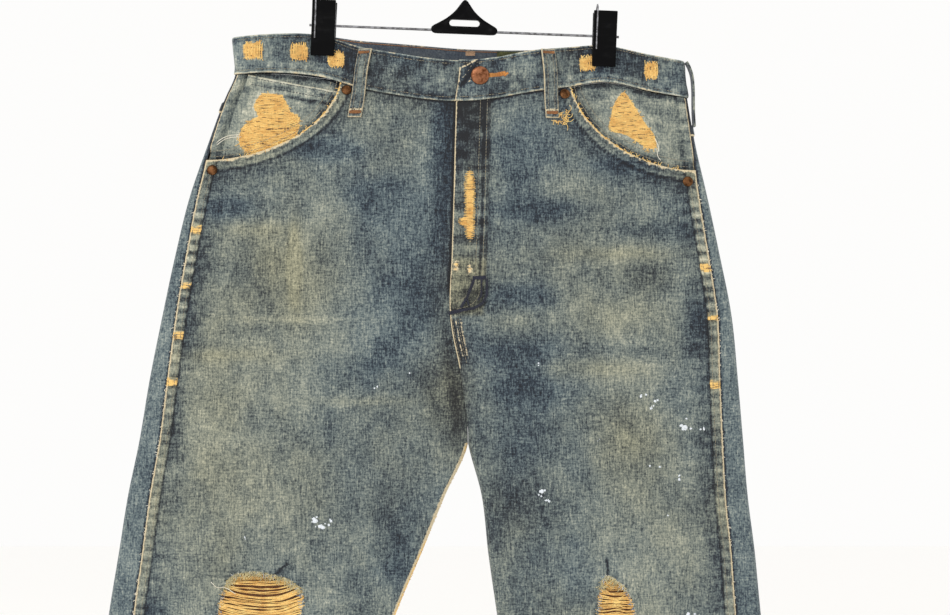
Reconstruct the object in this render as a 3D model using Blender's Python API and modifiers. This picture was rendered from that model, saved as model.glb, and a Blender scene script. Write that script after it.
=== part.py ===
"""Ripped jeans hanging from a clip hanger, as solids.

The origin is the inside top of the hanger's hook, where a rail carries it. +X runs to the right as
the front is seen, +Y from the front to the back, and +Z up. The wearer's right leg is at -X.
Lengths below are in millimetres, and MM turns them into metres when a mesh is made.

The garment is a flattened tube. Its inner surface is a front sheet and a back sheet that meet in a
round fold at each side. Every piece is a wall made from points of that surface, moved out along it.
"""

import math
from typing import NamedTuple

import bmesh
import bpy
import numpy as np
from mathutils import Vector

MM = 0.001
RIGHT, LEFT = -1, 1
FRONT, BACK = -1, 1
SIDE_NAME = {RIGHT: "right", LEFT: "left"}

# Cloth and seams
CLOTH = 1.2
SEAM_GAP = 0.3
WAISTBAND = 2.8
LAP_GAP = 0.4
FELL_WIDTH = 9.5
FELL_RISE = 1.2
FOLD_RADIUS = 5.0
HEM_HEIGHT = 12.0
HEM_RISE = 1.4

# Heights of the main lines, and the fly
CROTCH_Z = -474.0
CLOSING_TOP_Z = -345.0
HEM_Z = -1274.0
PANEL_TOP_Z = -138.0
LEVEL_Z = -300.0
BACK_LEVEL_Z = -420.0
FLY_BOTTOM_Z = -356.0
FLY_WIDTH = 31.0
FLY_RISE = 2.3
YOKE_CENTRE_Z, YOKE_DROP, YOKE_TILT = -212.0, 34.0, 0.05
SIDE_REACH = 215.0

# The hanger, in its own frame before it tips
HANGER_TILT = math.radians(2.24)
HOOK_WIRE, HOOK_RADIUS = 3.2, 17.0
HEAD_TOP_Z, HEAD_FOOT_Z, HEAD_HALF, HEAD_DEPTH = -62.5, -94.0, 31.0, 5.0
BAR_WIRE, BAR_Z, BAR_HALF = 2.4, -91.0, 144.0
CLIP_X, CLIP_WIDTH = 130.5, 22.0
SPRING_WIRE = 1.6
GRIP_HALF, GRIP_FADE, GRIP_DEPTH, GRIP_FADE_DOWN = 12.5, 62.0, 21.5, 42.0
GRIP_GAP = 0.25

# Small pieces
LOOP_WIDTH, LOOP_CLOTH = 12.5, 2.2
BUTTON_X, BUTTON_Z, BUTTON_RADIUS = 11.2, -134.5, 8.6
RIVET_RADIUS = 4.8
THREAD = 0.9


class Section(NamedTuple):
    """One level of the garment: x of its outside at the sides and inner edges, and how far it stands out."""

    name: str
    z: float
    right_side: float
    left_side: float
    right_inner: float
    left_inner: float
    front: float
    back: float
    seam: float


SECTIONS = (
    Section("waist", -98, -218, 198.5, -10.5, -10.5, 9.5, 8.5, 1.5),
    Section("waistband foot", -134, -217, 201, -10.7, -10.7, 13, 12, 1.5),
    Section("under the band", -152, -225, 203.5, -11, -11, 14, 14, 1.5),
    Section("pocket", -200, -243, 212, -12.3, -12.3, 16, 19, 3),
    Section("hip", -243, -258, 222, -13.3, -13.3, 18, 23, 7),
    Section("seat", -299, -272, 234, -15, -15, 20, 26, 10),
    Section("fly foot", -355, -284, 245, -16.5, -16.5, 20, 27, 12.5),
    Section("crotch seam", -415, -296, 251, -5, -5, 19, 25, 16.5),
    Section("crotch", -474, -306, 256, 0, 0, 17, 22, 19),
    Section("upper thigh", -522, -316, 260, -21, 12.5, 16, 20, 20.5),
    Section("thigh", -578, -325, 267, -44, 19, 16, 18, 22),
    Section("rip", -620, -332, 271, -62, 25, 15, 17, 23),
    Section("knee", -800, -352, 290, -118, 52, 13, 14, 24),
    Section("shin", -1030, -364, 300, -144, 77, 12, 13, 23),
    Section("hem", -1274, -372, 304, -160, 92, 12, 13, 22),
)


class WaistPoint(NamedTuple):
    """A place along the waist's top edge, and the height of the band below it."""

    x: float
    front_top: float
    back_top: float
    band: float


WAIST = (
    WaistPoint(-220, -98, -98, 34),
    WaistPoint(-184, -94.5, -94.5, 35.5),
    WaistPoint(-134, -95.5, -95.5, 39),
    WaistPoint(-102, -106, -99.5, 38),
    WaistPoint(-67, -113.5, -103, 38),
    WaistPoint(0, -120, -109.5, 37.5),
    WaistPoint(66, -109.5, -110, 38),
    WaistPoint(90, -107, -108, 37),
    WaistPoint(127, -104.5, -104.5, 34),
    WaistPoint(172, -113.5, -113.5, 34.5),
    WaistPoint(203, -119.5, -119.5, 34),
)


class Crease(NamedTuple):
    """A soft fold from one point to another. A positive depth is a trough, a negative one a ridge."""

    name: str
    face: int
    x0: float
    z0: float
    x1: float
    z1: float
    width: float
    depth: float


CREASES = (
    Crease("beside the fly", FRONT, -34, -250, -38, -385, 14, 2.6),
    Crease("crotch, wearer's right", FRONT, -52, -380, -8, -470, 15, 3.0),
    Crease("crotch, wearer's left", FRONT, 44, -385, 8, -460, 15, 2.2),
    Crease("right hip", FRONT, -225, -322, -95, -300, 24, 1.8),
    Crease("right thigh", FRONT, -250, -412, -110, -398, 24, -2.0),
    Crease("left hip", FRONT, 85, -330, 215, -312, 24, 1.8),
    Crease("left thigh", FRONT, 90, -425, 225, -402, 24, -2.0),
    Crease("inner right thigh", FRONT, -66, -520, -84, -700, 24, 2.6),
    Crease("right knee", FRONT, -300, -800, -180, -770, 34, -2.8),
    Crease("right shin", FRONT, -330, -900, -190, -940, 36, 2.6),
    Crease("left knee", FRONT, 90, -790, 240, -815, 34, -2.8),
    Crease("left shin", FRONT, 110, -950, 260, -905, 36, 2.6),
    Crease("under the right seat", BACK, -250, -505, -80, -470, 26, 3.2),
    Crease("under the left seat", BACK, 60, -475, 215, -500, 26, 3.2),
    Crease("right thigh, behind", BACK, -280, -575, -120, -550, 30, -2.4),
    Crease("left thigh, behind", BACK, 70, -558, 225, -582, 30, -2.4),
    Crease("right knee, behind", BACK, -320, -790, -160, -820, 32, 3.0),
    Crease("left knee, behind", BACK, 85, -825, 255, -785, 32, 3.0),
    Crease("right calf, behind", BACK, -335, -900, -180, -880, 34, -2.6),
    Crease("left calf, behind", BACK, 100, -885, 270, -910, 34, -2.6),
)


class Rip(NamedTuple):
    """A worn hole: the outline's points in order, and the weft threads that still cross it."""

    outline: tuple
    top: float
    bottom: float
    threads: int
    sag: float


RIPS = {
    RIGHT: Rip(
        ((-219, -597), (-198, -592), (-176, -596), (-157, -606), (-153, -624), (-159, -646),
         (-172, -668), (-196, -680), (-218, -672), (-229, -648), (-229, -620)),
        -606, -668, 17, 7.0,
    ),
    LEFT: Rip(
        ((126, -597), (137, -600), (149, -614), (155, -634), (159, -660), (152, -682),
         (138, -690), (127, -676), (123, -650), (120, -620)),
        -612, -680, 17, 3.5,
    ),
}


class Pocket(NamedTuple):
    """A front pocket's scoop: its corner under the waistband, its foot at the outseam, its roundness."""

    corner_x: float
    corner_z: float
    foot_x: float
    foot_z: float
    roundness: float


POCKETS = {
    RIGHT: Pocket(-118.5, -136, -241, -211.5, 1.85),
    LEFT: Pocket(94.5, -136, 208, -221, 1.8),
}
FACING_HEM = 12.0
FACING_DEPTH = {RIGHT: -4.2, LEFT: -2.8}
COIN_DEPTH = -2.1
COIN_TOP = ((-209, -131), (-121, -147.5))


class BackPocket(NamedTuple):
    """A patch pocket: its four corners and its point."""

    top_inner: tuple
    top_outer: tuple
    foot_inner: tuple
    foot_outer: tuple
    point_drop: float


BACK_POCKETS = {
    RIGHT: BackPocket((-62, -232), (-212, -220), (-70, -372), (-206, -362), 17),
    LEFT: BackPocket((38, -236), (182, -234), (46, -376), (178, -374), 17),
}


class Loop(NamedTuple):
    """A belt loop: which face it lies on, and where its middle line starts and ends."""

    name: str
    face: int
    top_x: float
    foot_x: float
    length: float


LOOPS = (
    Loop("right_front_loop", FRONT, -94.2, -104.6, 64),
    Loop("left_front_loop", FRONT, 73.0, 78.0, 64),
    Loop("right_back_loop", BACK, -188.0, -192.0, 58),
    Loop("centre_back_loop", BACK, -10.5, -11.5, 60),
)
SIDE_LOOP = (
    (201.9, -120.5), (204.8, -126), (207.2, -134), (208.2, -146), (208.3, -158), (208.5, -168), (209.2, -180),
)

RIVETS = ((-112.6, -147.5), (89.4, -151.0), (-236.5, -221.0), (203.0, -231.5))


def smooth_curve(at, values, x):
    """A smooth curve through the values at the rising places, held level past its ends."""
    at = np.asarray(at, float)
    values = np.asarray(values, float)
    slope = np.gradient(values, at)
    x = np.asarray(x, float)
    i = np.clip(np.searchsorted(at, x) - 1, 0, len(at) - 2)
    span = at[i + 1] - at[i]
    t = np.clip((x - at[i]) / span, 0, 1)
    rise = t * t * (3 - 2 * t)
    start = t * (1 - t) ** 2 * span
    end = t * t * (t - 1) * span
    return values[i] * (1 - rise) + values[i + 1] * rise + slope[i] * start + slope[i + 1] * end


def step(t):
    """A soft step from 0 to 1."""
    t = np.clip(t, 0, 1)
    return t * t * (3 - 2 * t)


def quarter_round(t):
    """The rise of a quarter circle, from 0 to 1."""
    return np.sqrt(1 - (1 - np.clip(t, 0, 1)) ** 2)


UPWARD = SECTIONS[::-1]
LEVELS = [s.z for s in UPWARD]


def level(name, z):
    """A column of the section table at height z."""
    return smooth_curve(LEVELS, [getattr(s, name) for s in UPWARD], z)


def waist(name, x):
    """A column of the waist table at x."""
    return smooth_curve([w.x for w in WAIST], [getattr(w, name) for w in WAIST], x)


def side_x(side, z):
    """x of the inner surface at the side fold."""
    return level(SIDE_NAME[side] + "_side", z) - side * CLOTH


def centre_x(side, z):
    """x of the centre seam above the crotch, and of the outside of the inseam below it."""
    both = [level(name + "_inner", z) for name in SIDE_NAME.values()]
    return np.where(np.asarray(z) > CROTCH_Z, sum(both) / 2, both[0] if side == RIGHT else both[1])


def inner_x(side, z):
    """x of the inner surface at the centre seam, or at the inseam fold."""
    below = np.asarray(z) <= CROTCH_Z
    return centre_x(side, z) + np.where(below, side * CLOTH, 0)


def closing(z):
    """How far the front and back have closed on each other at the centre: 0 above, 1 at the crotch."""
    return step((CLOSING_TOP_Z - z) / (CLOSING_TOP_Z - CROTCH_Z))


def creases(face, x, z):
    """The folds' depth at a point."""
    total = np.zeros(np.broadcast(x, z).shape)
    for crease in CREASES:
        if crease.face != face:
            continue
        run_x = crease.x1 - crease.x0
        run_z = crease.z1 - crease.z0
        length = math.hypot(run_x, run_z)
        along = ((x - crease.x0) * run_x + (z - crease.z0) * run_z) / length**2
        off = ((x - crease.x0) * run_z - (z - crease.z0) * run_x) / length
        ends = step(np.minimum(along, 1 - along) / 0.35)
        total = total + crease.depth * ends * np.exp(-((off / crease.width) ** 2))
    return total


def clip_centre(side):
    """x of a clip where it grips, after the hanger has tipped."""
    return side * CLIP_X * math.cos(HANGER_TILT) + BAR_Z * math.sin(HANGER_TILT)


def grip(x, z):
    """How firmly the clips press the waist together: 1 under the jaws, 0 away from them."""
    down = waist("front_top", x) - z
    low = 1 - step((down - GRIP_DEPTH) / GRIP_FADE_DOWN)
    total = np.zeros(np.broadcast(x, z).shape)
    for side in (RIGHT, LEFT):
        off = np.abs(x - clip_centre(side))
        total = np.maximum(total, 1 - step((off - GRIP_HALF) / GRIP_FADE))
    return total * low


def depth(face, leg, x, z):
    """The inner surface's distance from the middle plane at a point of the front or the back."""
    x, z = np.broadcast_arrays(np.asarray(x, float), np.asarray(z, float))
    above = z > CROTCH_Z
    half = np.where(above, np.where(x < centre_x(RIGHT, z), RIGHT, LEFT), leg)
    outer = np.where(half == RIGHT, side_x(RIGHT, z), side_x(LEFT, z))
    inner = np.where(half == RIGHT, inner_x(RIGHT, z), inner_x(LEFT, z))
    width = np.abs(inner - outer)
    from_side = np.clip(half * (outer - x), 0, width)
    from_inner = width - from_side
    s = from_inner / width
    k = closing(z)
    lens = (1 - k) * (1 - s * s) + 4 * k * s * (1 - s)
    soft = FOLD_RADIUS * (1 + 5 * (1 - k))
    round_inner = 1 - k + k * quarter_round(from_inner / soft)
    edge = FOLD_RADIUS * quarter_round(from_side / FOLD_RADIUS) * round_inner
    full = level("front" if face == FRONT else "back", z)
    quiet = step(from_side / 30) * np.where(above, 1, step(from_inner / 30))
    shape = edge + (full - FOLD_RADIUS) * lens - creases(face, x, z) * quiet
    pressed = grip(x, z)
    return np.maximum(shape * (1 - pressed) + GRIP_GAP * pressed, 0)


def surface(face, leg, x, z):
    """Points of the inner surface, in millimetres."""
    x, z = np.broadcast_arrays(np.asarray(x, float), np.asarray(z, float))
    return np.stack([x, face * depth(face, leg, x, z), z], axis=-1)


def outward(face, leg, x, z):
    """The surface's outward direction at a point that isn't on a side fold."""
    reach = 0.2
    across = (depth(face, leg, x + reach, z) - depth(face, leg, x - reach, z)) / (2 * reach)
    up = (depth(face, leg, x, z + reach) - depth(face, leg, x, z - reach)) / (2 * reach)
    direction = np.stack([-across, face * np.ones_like(across), -up], axis=-1)
    return direction / np.linalg.norm(direction, axis=-1, keepdims=True)


def band_foot(face, x):
    """Height of the waistband's lower edge."""
    return waist("front_top" if face == FRONT else "back_top", x) - waist("band", x)


def lifted(face, x, z):
    """A row's height at x: rows near the waist follow the foot of the waistband."""
    rise = band_foot(face, x) - SEAM_GAP - PANEL_TOP_Z
    return z + rise * (1 - step((PANEL_TOP_Z - z) / (PANEL_TOP_Z - LEVEL_Z)))


def yoke_foot(x):
    """Height of the yoke seam: highest at the sides and lowest at the centre back."""
    off = x - centre_x(RIGHT, YOKE_CENTRE_Z)
    return YOKE_CENTRE_Z - YOKE_TILT * off + YOKE_DROP * np.clip(np.abs(off) / SIDE_REACH, 0, 1)


def under_yoke(face, x, z):
    """A row's height at x on a back panel: its top row follows the yoke seam."""
    rise = yoke_foot(x) - SEAM_GAP - PANEL_TOP_Z
    return z + rise * (1 - step((PANEL_TOP_Z - z) / (PANEL_TOP_Z - BACK_LEVEL_Z)))


def panel_grid(side, columns, rows, lift):
    """Points of a piece. Each column's x follows its height, and each row's height its x."""
    rows = np.asarray(rows, float)
    points = []
    for j, face in enumerate(columns(rows)[0]):
        z = lift(face, columns(lift(face, 0.0, rows))[1][j], rows)
        for _ in range(2):
            z = lift(face, columns(z)[1][j], rows)
        points.append(surface(face, side, columns(z)[1][j], z))
    return np.stack(points, axis=1)


def normals_of(points, facing):
    """Unit normals of a grid of points, turned to the side that faces out."""
    normal = np.cross(np.gradient(points, axis=1), np.gradient(points, axis=0))
    normal /= np.linalg.norm(normal, axis=2, keepdims=True)
    return normal if (normal * facing).sum() > 0 else -normal


def new_object(name, mesh, material, parent=None, sharp=30):
    """Links a mesh as a named object in the part's collection."""
    obj = bpy.data.objects.new(name, mesh)
    PART.objects.link(obj)
    obj.parent = parent
    mesh.materials.append(material)
    mesh.shade_smooth()
    mesh.set_sharp_from_angle(angle=math.radians(sharp))
    return obj


def wall(name, points, inner, outer, material, facing, edges=None, seams=(), keep=None):
    """A cloth wall between two offsets of a grid of points, closed round its rim and its holes.

    The edges' directions are given, and a row that meets another piece at a seam is cut off level.
    """
    rows, columns = points.shape[:2]
    direction = normals_of(points, facing)
    for row in seams:
        direction[row, :, 2] = 0
        direction[row] /= np.linalg.norm(direction[row], axis=1, keepdims=True)
    for column, given in (edges or {}).items():
        direction[:, column] = given
    if edges and -1 in edges:
        direction[:, -2] += edges[-1]
        direction[:, -2] /= np.linalg.norm(direction[:, -2], axis=1, keepdims=True)
    if keep is None:
        keep = np.ones((rows - 1, columns - 1), bool)
    mesh = bmesh.new()
    layers = []
    for offset in (inner, outer):
        moved = points + direction * np.broadcast_to(offset, (rows, columns))[..., None]
        layers.append([[mesh.verts.new(Vector(p) * MM) for p in row] for row in moved])
    inside, outside = layers
    for i in range(rows - 1):
        for j in range(columns - 1):
            if not keep[i, j]:
                continue
            corners = [(i, j), (i, j + 1), (i + 1, j + 1), (i + 1, j)]
            for layer in layers:
                mesh.faces.new([layer[m][n] for m, n in corners])
            beyond = [(i - 1, j), (i, j + 1), (i + 1, j), (i, j - 1)]
            for k, (m, n) in enumerate(beyond):
                if 0 <= m < rows - 1 and 0 <= n < columns - 1 and keep[m, n]:
                    continue
                (a, b), (c, d) = corners[k], corners[(k + 1) % 4]
                mesh.faces.new((inside[a][b], inside[c][d], outside[c][d], outside[a][b]))
    bmesh.ops.delete(mesh, geom=[v for v in mesh.verts if not v.link_faces], context="VERTS")
    bmesh.ops.recalc_face_normals(mesh, faces=mesh.faces)
    data = bpy.data.meshes.new(name)
    mesh.to_mesh(data)
    mesh.free()
    return new_object(name, data, material)


def prism(name, outline, low, high, axis="Y"):
    """A closed prism: the outline in the plane across the axis, from low to high along it."""
    mesh = bmesh.new()
    turn = {"Y": lambda a, b, c: (a, c, b), "X": lambda a, b, c: (c, a, b)}[axis]
    face = mesh.faces.new([mesh.verts.new(Vector(turn(a, b, low)) * MM) for a, b in outline])
    made = bmesh.ops.extrude_face_region(mesh, geom=[face])
    moved = [v for v in made["geom"] if isinstance(v, bmesh.types.BMVert)]
    bmesh.ops.translate(mesh, vec=Vector(turn(0, 0, high - low)) * MM, verts=moved)
    bmesh.ops.recalc_face_normals(mesh, faces=mesh.faces)
    data = bpy.data.meshes.new(name)
    mesh.to_mesh(data)
    mesh.free()
    return data


def cut(obj, name, data, parent=None):
    """Takes a prism away from an object."""
    tool = bpy.data.objects.new(name, data)
    CUTTERS.objects.link(tool)
    tool.parent = parent
    tool.hide_render = True
    tool.display_type = "WIRE"
    modifier = obj.modifiers.new(name, "BOOLEAN")
    modifier.object = tool
    modifier.solver = "EXACT"


def round_edges(obj, width):
    """Rounds an object's edges a little."""
    modifier = obj.modifiers.new("round", "BEVEL")
    modifier.width = width * MM
    modifier.segments = 2
    modifier.limit_method = "ANGLE"


def tube(name, points, wire, material, parent):
    """A bent wire along points."""
    curve = bpy.data.curves.new(name, "CURVE")
    curve.dimensions = "3D"
    curve.bevel_depth = wire / 2 * MM
    curve.bevel_resolution = 2
    curve.use_fill_caps = True
    spline = curve.splines.new("POLY")
    spline.points.add(len(points) - 1)
    for point, place in zip(spline.points, points):
        point.co = (*(Vector(place) * MM), 1)
    curve.materials.append(material)
    obj = bpy.data.objects.new(name, curve)
    PART.objects.link(obj)
    obj.parent = parent


def turned(name, profile, steps, place, direction, material):
    """A turned piece: its profile runs down the outside from the axis, and it faces a direction."""
    mesh = bpy.data.meshes.new(name)
    points = [Vector((radius, 0, height)) * MM for radius, height in profile]
    mesh.from_pydata(points, [(i, i + 1) for i in range(len(points) - 1)], [])
    obj = bpy.data.objects.new(name, mesh)
    PART.objects.link(obj)
    mesh.materials.append(material)
    screw = obj.modifiers.new("turn", "SCREW")
    screw.steps = steps
    screw.render_steps = steps
    screw.use_merge_vertices = True
    screw.merge_threshold = 0.00001
    obj.location = Vector(place) * MM
    obj.rotation_mode = "QUATERNION"
    obj.rotation_quaternion = Vector(direction).to_track_quat("Z", "Y")


def closed_curve(points, count):
    """A smooth closed outline through a few points."""
    points = np.asarray(points, float)
    ring = np.concatenate([points[-2:], points, points[:3]])
    at = np.arange(-2, len(points) + 3)
    t = np.linspace(0, len(points), count, endpoint=False)
    return np.stack([smooth_curve(at, ring[:, i], t) for i in range(2)], axis=1)


def open_curve(points, count):
    """A smooth line through a few points."""
    points = np.asarray(points, float)
    t = np.linspace(0, len(points) - 1, count)
    at = np.arange(len(points))
    return np.stack([smooth_curve(at, points[:, i], t) for i in range(points.shape[1])], axis=1)


def scoop_z(side, x, grown=0.0):
    """Height of a pocket's curved edge at x, with the curve grown by some millimetres."""
    pocket = POCKETS[side]
    across = abs(pocket.corner_x - pocket.foot_x) + grown
    drop = pocket.corner_z - pocket.foot_z + grown
    t = np.clip(side * (pocket.foot_x - np.asarray(x, float)) / across, 0, 1)
    return pocket.corner_z - drop * (1 - t**pocket.roundness) ** (1 / pocket.roundness)


def scoop_outline(side):
    """The cutter's outline for a pocket: along the scoop, then round above and outside it."""
    pocket = POCKETS[side]
    turns = np.linspace(0, math.pi / 2, 13)
    power = 2 / pocket.roundness
    xs = pocket.foot_x + (pocket.corner_x - pocket.foot_x) * np.sin(turns) ** power
    zs = pocket.corner_z + (pocket.foot_z - pocket.corner_z) * np.cos(turns) ** power
    beyond = pocket.foot_x + side * 60
    top = pocket.corner_z + 40
    return [(beyond, pocket.foot_z), *zip(xs, zs), (xs[-1], top), (beyond, top)]


def fly_width(z):
    """Width of the stitched fly: it narrows to the felled crotch seam at its foot."""
    return FELL_WIDTH + (FLY_WIDTH - FELL_WIDTH) * step((z - FLY_BOTTOM_Z - 4) / 34)


def underlap(side, z):
    """How far the wearer's right front runs on under the fly."""
    if side == LEFT:
        return 0 * z
    return (FLY_WIDTH - 3) * step((z - FLY_BOTTOM_Z - 8) / 30)


def edge_turn(z):
    """How far a centre edge's wall has turned from straight out to sideways, at the inseam."""
    return step((CROTCH_Z + 25 - z) / 25) * math.pi / 2


def edge_direction(side, face, z):
    """Directions of a centre edge's wall."""
    turn = edge_turn(z)
    return np.stack([-side * np.sin(turn), face * np.cos(turn), 0 * turn], axis=-1)


def edge_x(side, z):
    """x of a panel's inner edge on the inner surface, half a seam gap short of its neighbour."""
    seam = centre_x(side, z)
    clear = np.where(z > CROTCH_Z, SEAM_GAP / 2, np.maximum(0, SEAM_GAP / 2 - np.abs(seam)))
    return seam + side * (clear + CLOTH * np.sin(edge_turn(z)))


def front_columns(side, z):
    """The columns of a front from the outseam to its inner edge: each one's face, and its x."""
    seam = side_x(side, z) - side * (level("seam", z) + SEAM_GAP / 2)
    inner = edge_x(side, z) - side * underlap(side, z)
    reach = side * (seam - inner)
    own = fly_width(z)
    plain = reach - FELL_WIDTH - 1.2 - own
    from_seam = [0 * z, 5 + 0 * z, FELL_WIDTH - 0.6 + 0 * z, FELL_WIDTH + 0.6 + 0 * z]
    from_seam += [FELL_WIDTH + 1.2 + share * plain for share in (0.14, 0.3, 0.47, 0.63, 0.79)]
    from_seam += [reach - t for t in (own + 1.2, own - 0.6, 0.7 * own, 4.5, 1.6, 0.0)]
    return [FRONT] * len(from_seam), [seam - side * d for d in from_seam]


FRONT_BAND = 3
FRONT_FLY = 5


def panel_rows():
    """The heights of a leg panel's rows, closer at the crotch and the hem."""
    hip = np.linspace(PANEL_TOP_Z, CLOSING_TOP_Z, 7)[:-1]
    fly_foot = [CLOSING_TOP_Z, FLY_BOTTOM_Z + 3, FLY_BOTTOM_Z - 6, -388, -414, -436, -453, -466]
    crotch = [CROTCH_Z, CROTCH_Z - 6, CROTCH_Z - 18, CROTCH_Z - 38]
    leg = np.linspace(CROTCH_Z - 66, HEM_Z + HEM_HEIGHT + 0.7, 12)
    hem = [HEM_Z + HEM_HEIGHT - 0.7, HEM_Z]
    return np.array([*hip, *fly_foot, *crotch, *leg, *hem], float)


def hem_rise(rows):
    """The extra thickness of the turned-up hem, in each row."""
    return np.where(rows < HEM_Z + HEM_HEIGHT, HEM_RISE, 0.0)[:, None]


def front_points(side):
    """The points of a front, from the felled outseam to the centre seam or the inseam."""
    rows = panel_rows()
    points = panel_grid(side, lambda z: front_columns(side, z), rows, lifted)
    points[rows <= CROTCH_Z, -1, 1] = -SEAM_GAP / 2
    return points


def on_panel(panel, x, z):
    """The points at x and z on a panel's own facets: z falls along its columns, x runs along its rows."""
    found = np.empty((*np.shape(x), 3))
    for place in np.ndindex(np.shape(x)):
        row = []
        for column in range(panel.shape[1]):
            upward = panel[::-1, column]
            row.append([np.interp(z[place], upward[:, 2], upward[:, k]) for k in (0, 1)])
        row = np.array(sorted(row))
        found[place] = (x[place], np.interp(x[place], row[:, 0], row[:, 1]), z[place])
    return found


def front_panel(side, points):
    """A front, with its felled outseam, its fly, its scoop and its rip."""
    rows = panel_rows()
    columns = points.shape[1]
    band = np.arange(columns) < FRONT_BAND
    outer = CLOTH + FELL_RISE * band + hem_rise(rows)
    inner = np.zeros_like(outer)
    if side == LEFT:
        fly = np.arange(columns) >= columns - FRONT_FLY
        lapped = step((rows[:, None] - FLY_BOTTOM_Z) / 3) * fly
        felled = step((rows[:, None] - CROTCH_Z - 20) / 20) * fly
        inner = inner + (CLOTH + LAP_GAP) * lapped
        outer = np.maximum(outer, CLOTH + FELL_RISE * felled * (1 - lapped) + FLY_RISE * lapped)
    seam_x, seam_z = points[:, 0, 0], points[:, 0, 2]
    edges = {0: outward(FRONT, side, seam_x, seam_z), -1: edge_direction(side, FRONT, points[:, -1, 2])}
    name = SIDE_NAME[side] + "_front"
    panel = wall(name, points, inner, outer, DENIM, (0, FRONT, 0), edges, seams=(0,))
    cut(panel, name + "_scoop", prism(name, scoop_outline(side), -70, -0.3))
    outline = closed_curve(RIPS[side].outline, 24)
    cut(panel, name + "_rip", prism(name, outline, -70, -0.3))


def back_columns(side, z):
    """The columns of a back piece from the outseam, round the side fold, to the centre."""
    fold = side_x(side, z)
    seam = level("seam", z) - SEAM_GAP / 2
    reach = side * (fold - edge_x(side, z))
    on_front = [seam * share for share in (1.0, 0.4, 0.09)]
    near_fold = [0.0, 1.2, 5.0]
    plain = reach - near_fold[-1] - FELL_WIDTH - 1.2
    middle = [near_fold[-1] + plain * share for share in (0.14, 0.34, 0.56, 0.78, 1.0)]
    last = [reach - t for t in (FELL_WIDTH - 0.6, 5.0, 1.6, 0.0)]
    on_back = [d + 0 * z for d in (*near_fold, *middle, *last)]
    faces = [FRONT] * len(on_front) + [BACK] * len(on_back)
    return faces, [fold - side * d for d in (*on_front, *on_back)]


BACK_FELL = 4


def back_facing(side, z):
    """Which way each column of a back piece faces out."""
    faces = back_columns(side, np.asarray([z], float))[0]
    return np.array([(side if f == FRONT else 0, 0 if f == FRONT else BACK, 0) for f in faces])


def back_edges(side, points, turn_at_crotch):
    """Directions of a back piece's two upright edges."""
    seam = outward(FRONT, side, points[:, 0, 0], points[:, 0, 2])
    z = points[:, -1, 2] if turn_at_crotch else np.full(len(points), PANEL_TOP_Z)
    return {0: seam, -1: edge_direction(side, BACK, z)}


AT_FOLD = 3


def back_panel(side):
    """A back: from the outseam round the side fold to the centre seam or the inseam.

    It is one piece of cloth, made as two solids that part at the fold: the panel behind, and the strip
    that turns onto the front, where the outseam lies.
    """
    rows = panel_rows()
    points = panel_grid(side, lambda z: back_columns(side, z), rows, under_yoke)
    points[rows <= CROTCH_Z, -1, 1] = SEAM_GAP / 2
    columns = points.shape[1]
    outer = CLOTH + hem_rise(rows) + np.zeros(columns)
    if side == LEFT:
        fell = np.arange(columns) >= columns - BACK_FELL
        outer = np.maximum(outer, CLOTH + FELL_RISE * step((rows[:, None] - CROTCH_Z - 20) / 20) * fell)
    edges = back_edges(side, points, True)
    name, facing_out = SIDE_NAME[side] + "_back", back_facing(side, HEM_Z)
    at_fold = np.array([side, 0.0, 0.0])
    strip, panel = points[:, : AT_FOLD + 1].copy(), points[:, AT_FOLD:].copy()
    strip[:, -1, 1], panel[:, 0, 1] = -SEAM_GAP / 2, SEAM_GAP / 2
    wall(name + "_edge", strip, 0, outer[:, : AT_FOLD + 1], DENIM, facing_out[: AT_FOLD + 1],
         {0: edges[0], -1: at_fold}, seams=(0,))
    wall(name, panel, 0, outer[:, AT_FOLD:], DENIM, facing_out[AT_FOLD:], {0: at_fold, -1: edges[-1]}, seams=(0,))


YOKE_SHARES = np.array([0, 0.45, 0.74, 0.79, 1.0])
WAIST_SHARES = np.array([0.0, 0.08, 0.5, 0.92, 1.0])
WAIST_SPACING = 16.0


def yoke_points(side):
    """The points of a yoke, between the waistband and the back."""

    def lift(face, x, share):
        top = band_foot(BACK, x) - SEAM_GAP
        return top + (yoke_foot(x) - top) * share

    return panel_grid(side, lambda z: back_columns(side, z), YOKE_SHARES, lift)


def yoke(side, points):
    """A yoke, thicker along the felled seam at its foot."""
    shares = YOKE_SHARES
    columns = points.shape[1]
    raised = (shares > 0.76)[:, None] | ((np.arange(columns) >= columns - BACK_FELL) & (side == LEFT))
    outer = CLOTH + FELL_RISE * raised
    edges = back_edges(side, points, False)
    facing_out = back_facing(side, PANEL_TOP_Z)
    wall(SIDE_NAME[side] + "_yoke", points, 0, outer, DENIM, facing_out, edges, seams=(0, -1))


def heads(face, fronts, yokes):
    """The line along the upper edges of the pieces below the waistband, in order of x."""
    count = len(back_columns(RIGHT, YOKE_SHARES)[0])
    wrapped = sum(f == FRONT for f in back_columns(RIGHT, YOKE_SHARES)[0])
    if face == BACK:
        line = [yokes[side][0, j] for side in (RIGHT, LEFT) for j in range(wrapped, count)]
    else:
        seam = centre_x(LEFT, PANEL_TOP_Z)
        line = [yokes[side][0, j] for side in (RIGHT, LEFT) for j in range(wrapped)]
        line += [p for p in fronts[RIGHT][0] if p[0] < seam]
        line += [p for p in fronts[LEFT][0] if p[0] > seam]
    line = np.array(line)
    return line[np.argsort(line[:, 0])]


def waist_places(line):
    """x of the waistband's columns above a line of heads, with more between those far apart."""
    places = [line[0, 0]]
    for x in line[1:, 0]:
        gap = x - places[-1]
        if gap > 0.9:
            count = math.ceil(gap / WAIST_SPACING)
            places += [places[-1] + gap / count * (k + 1) for k in range(count)]
    return places


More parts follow.
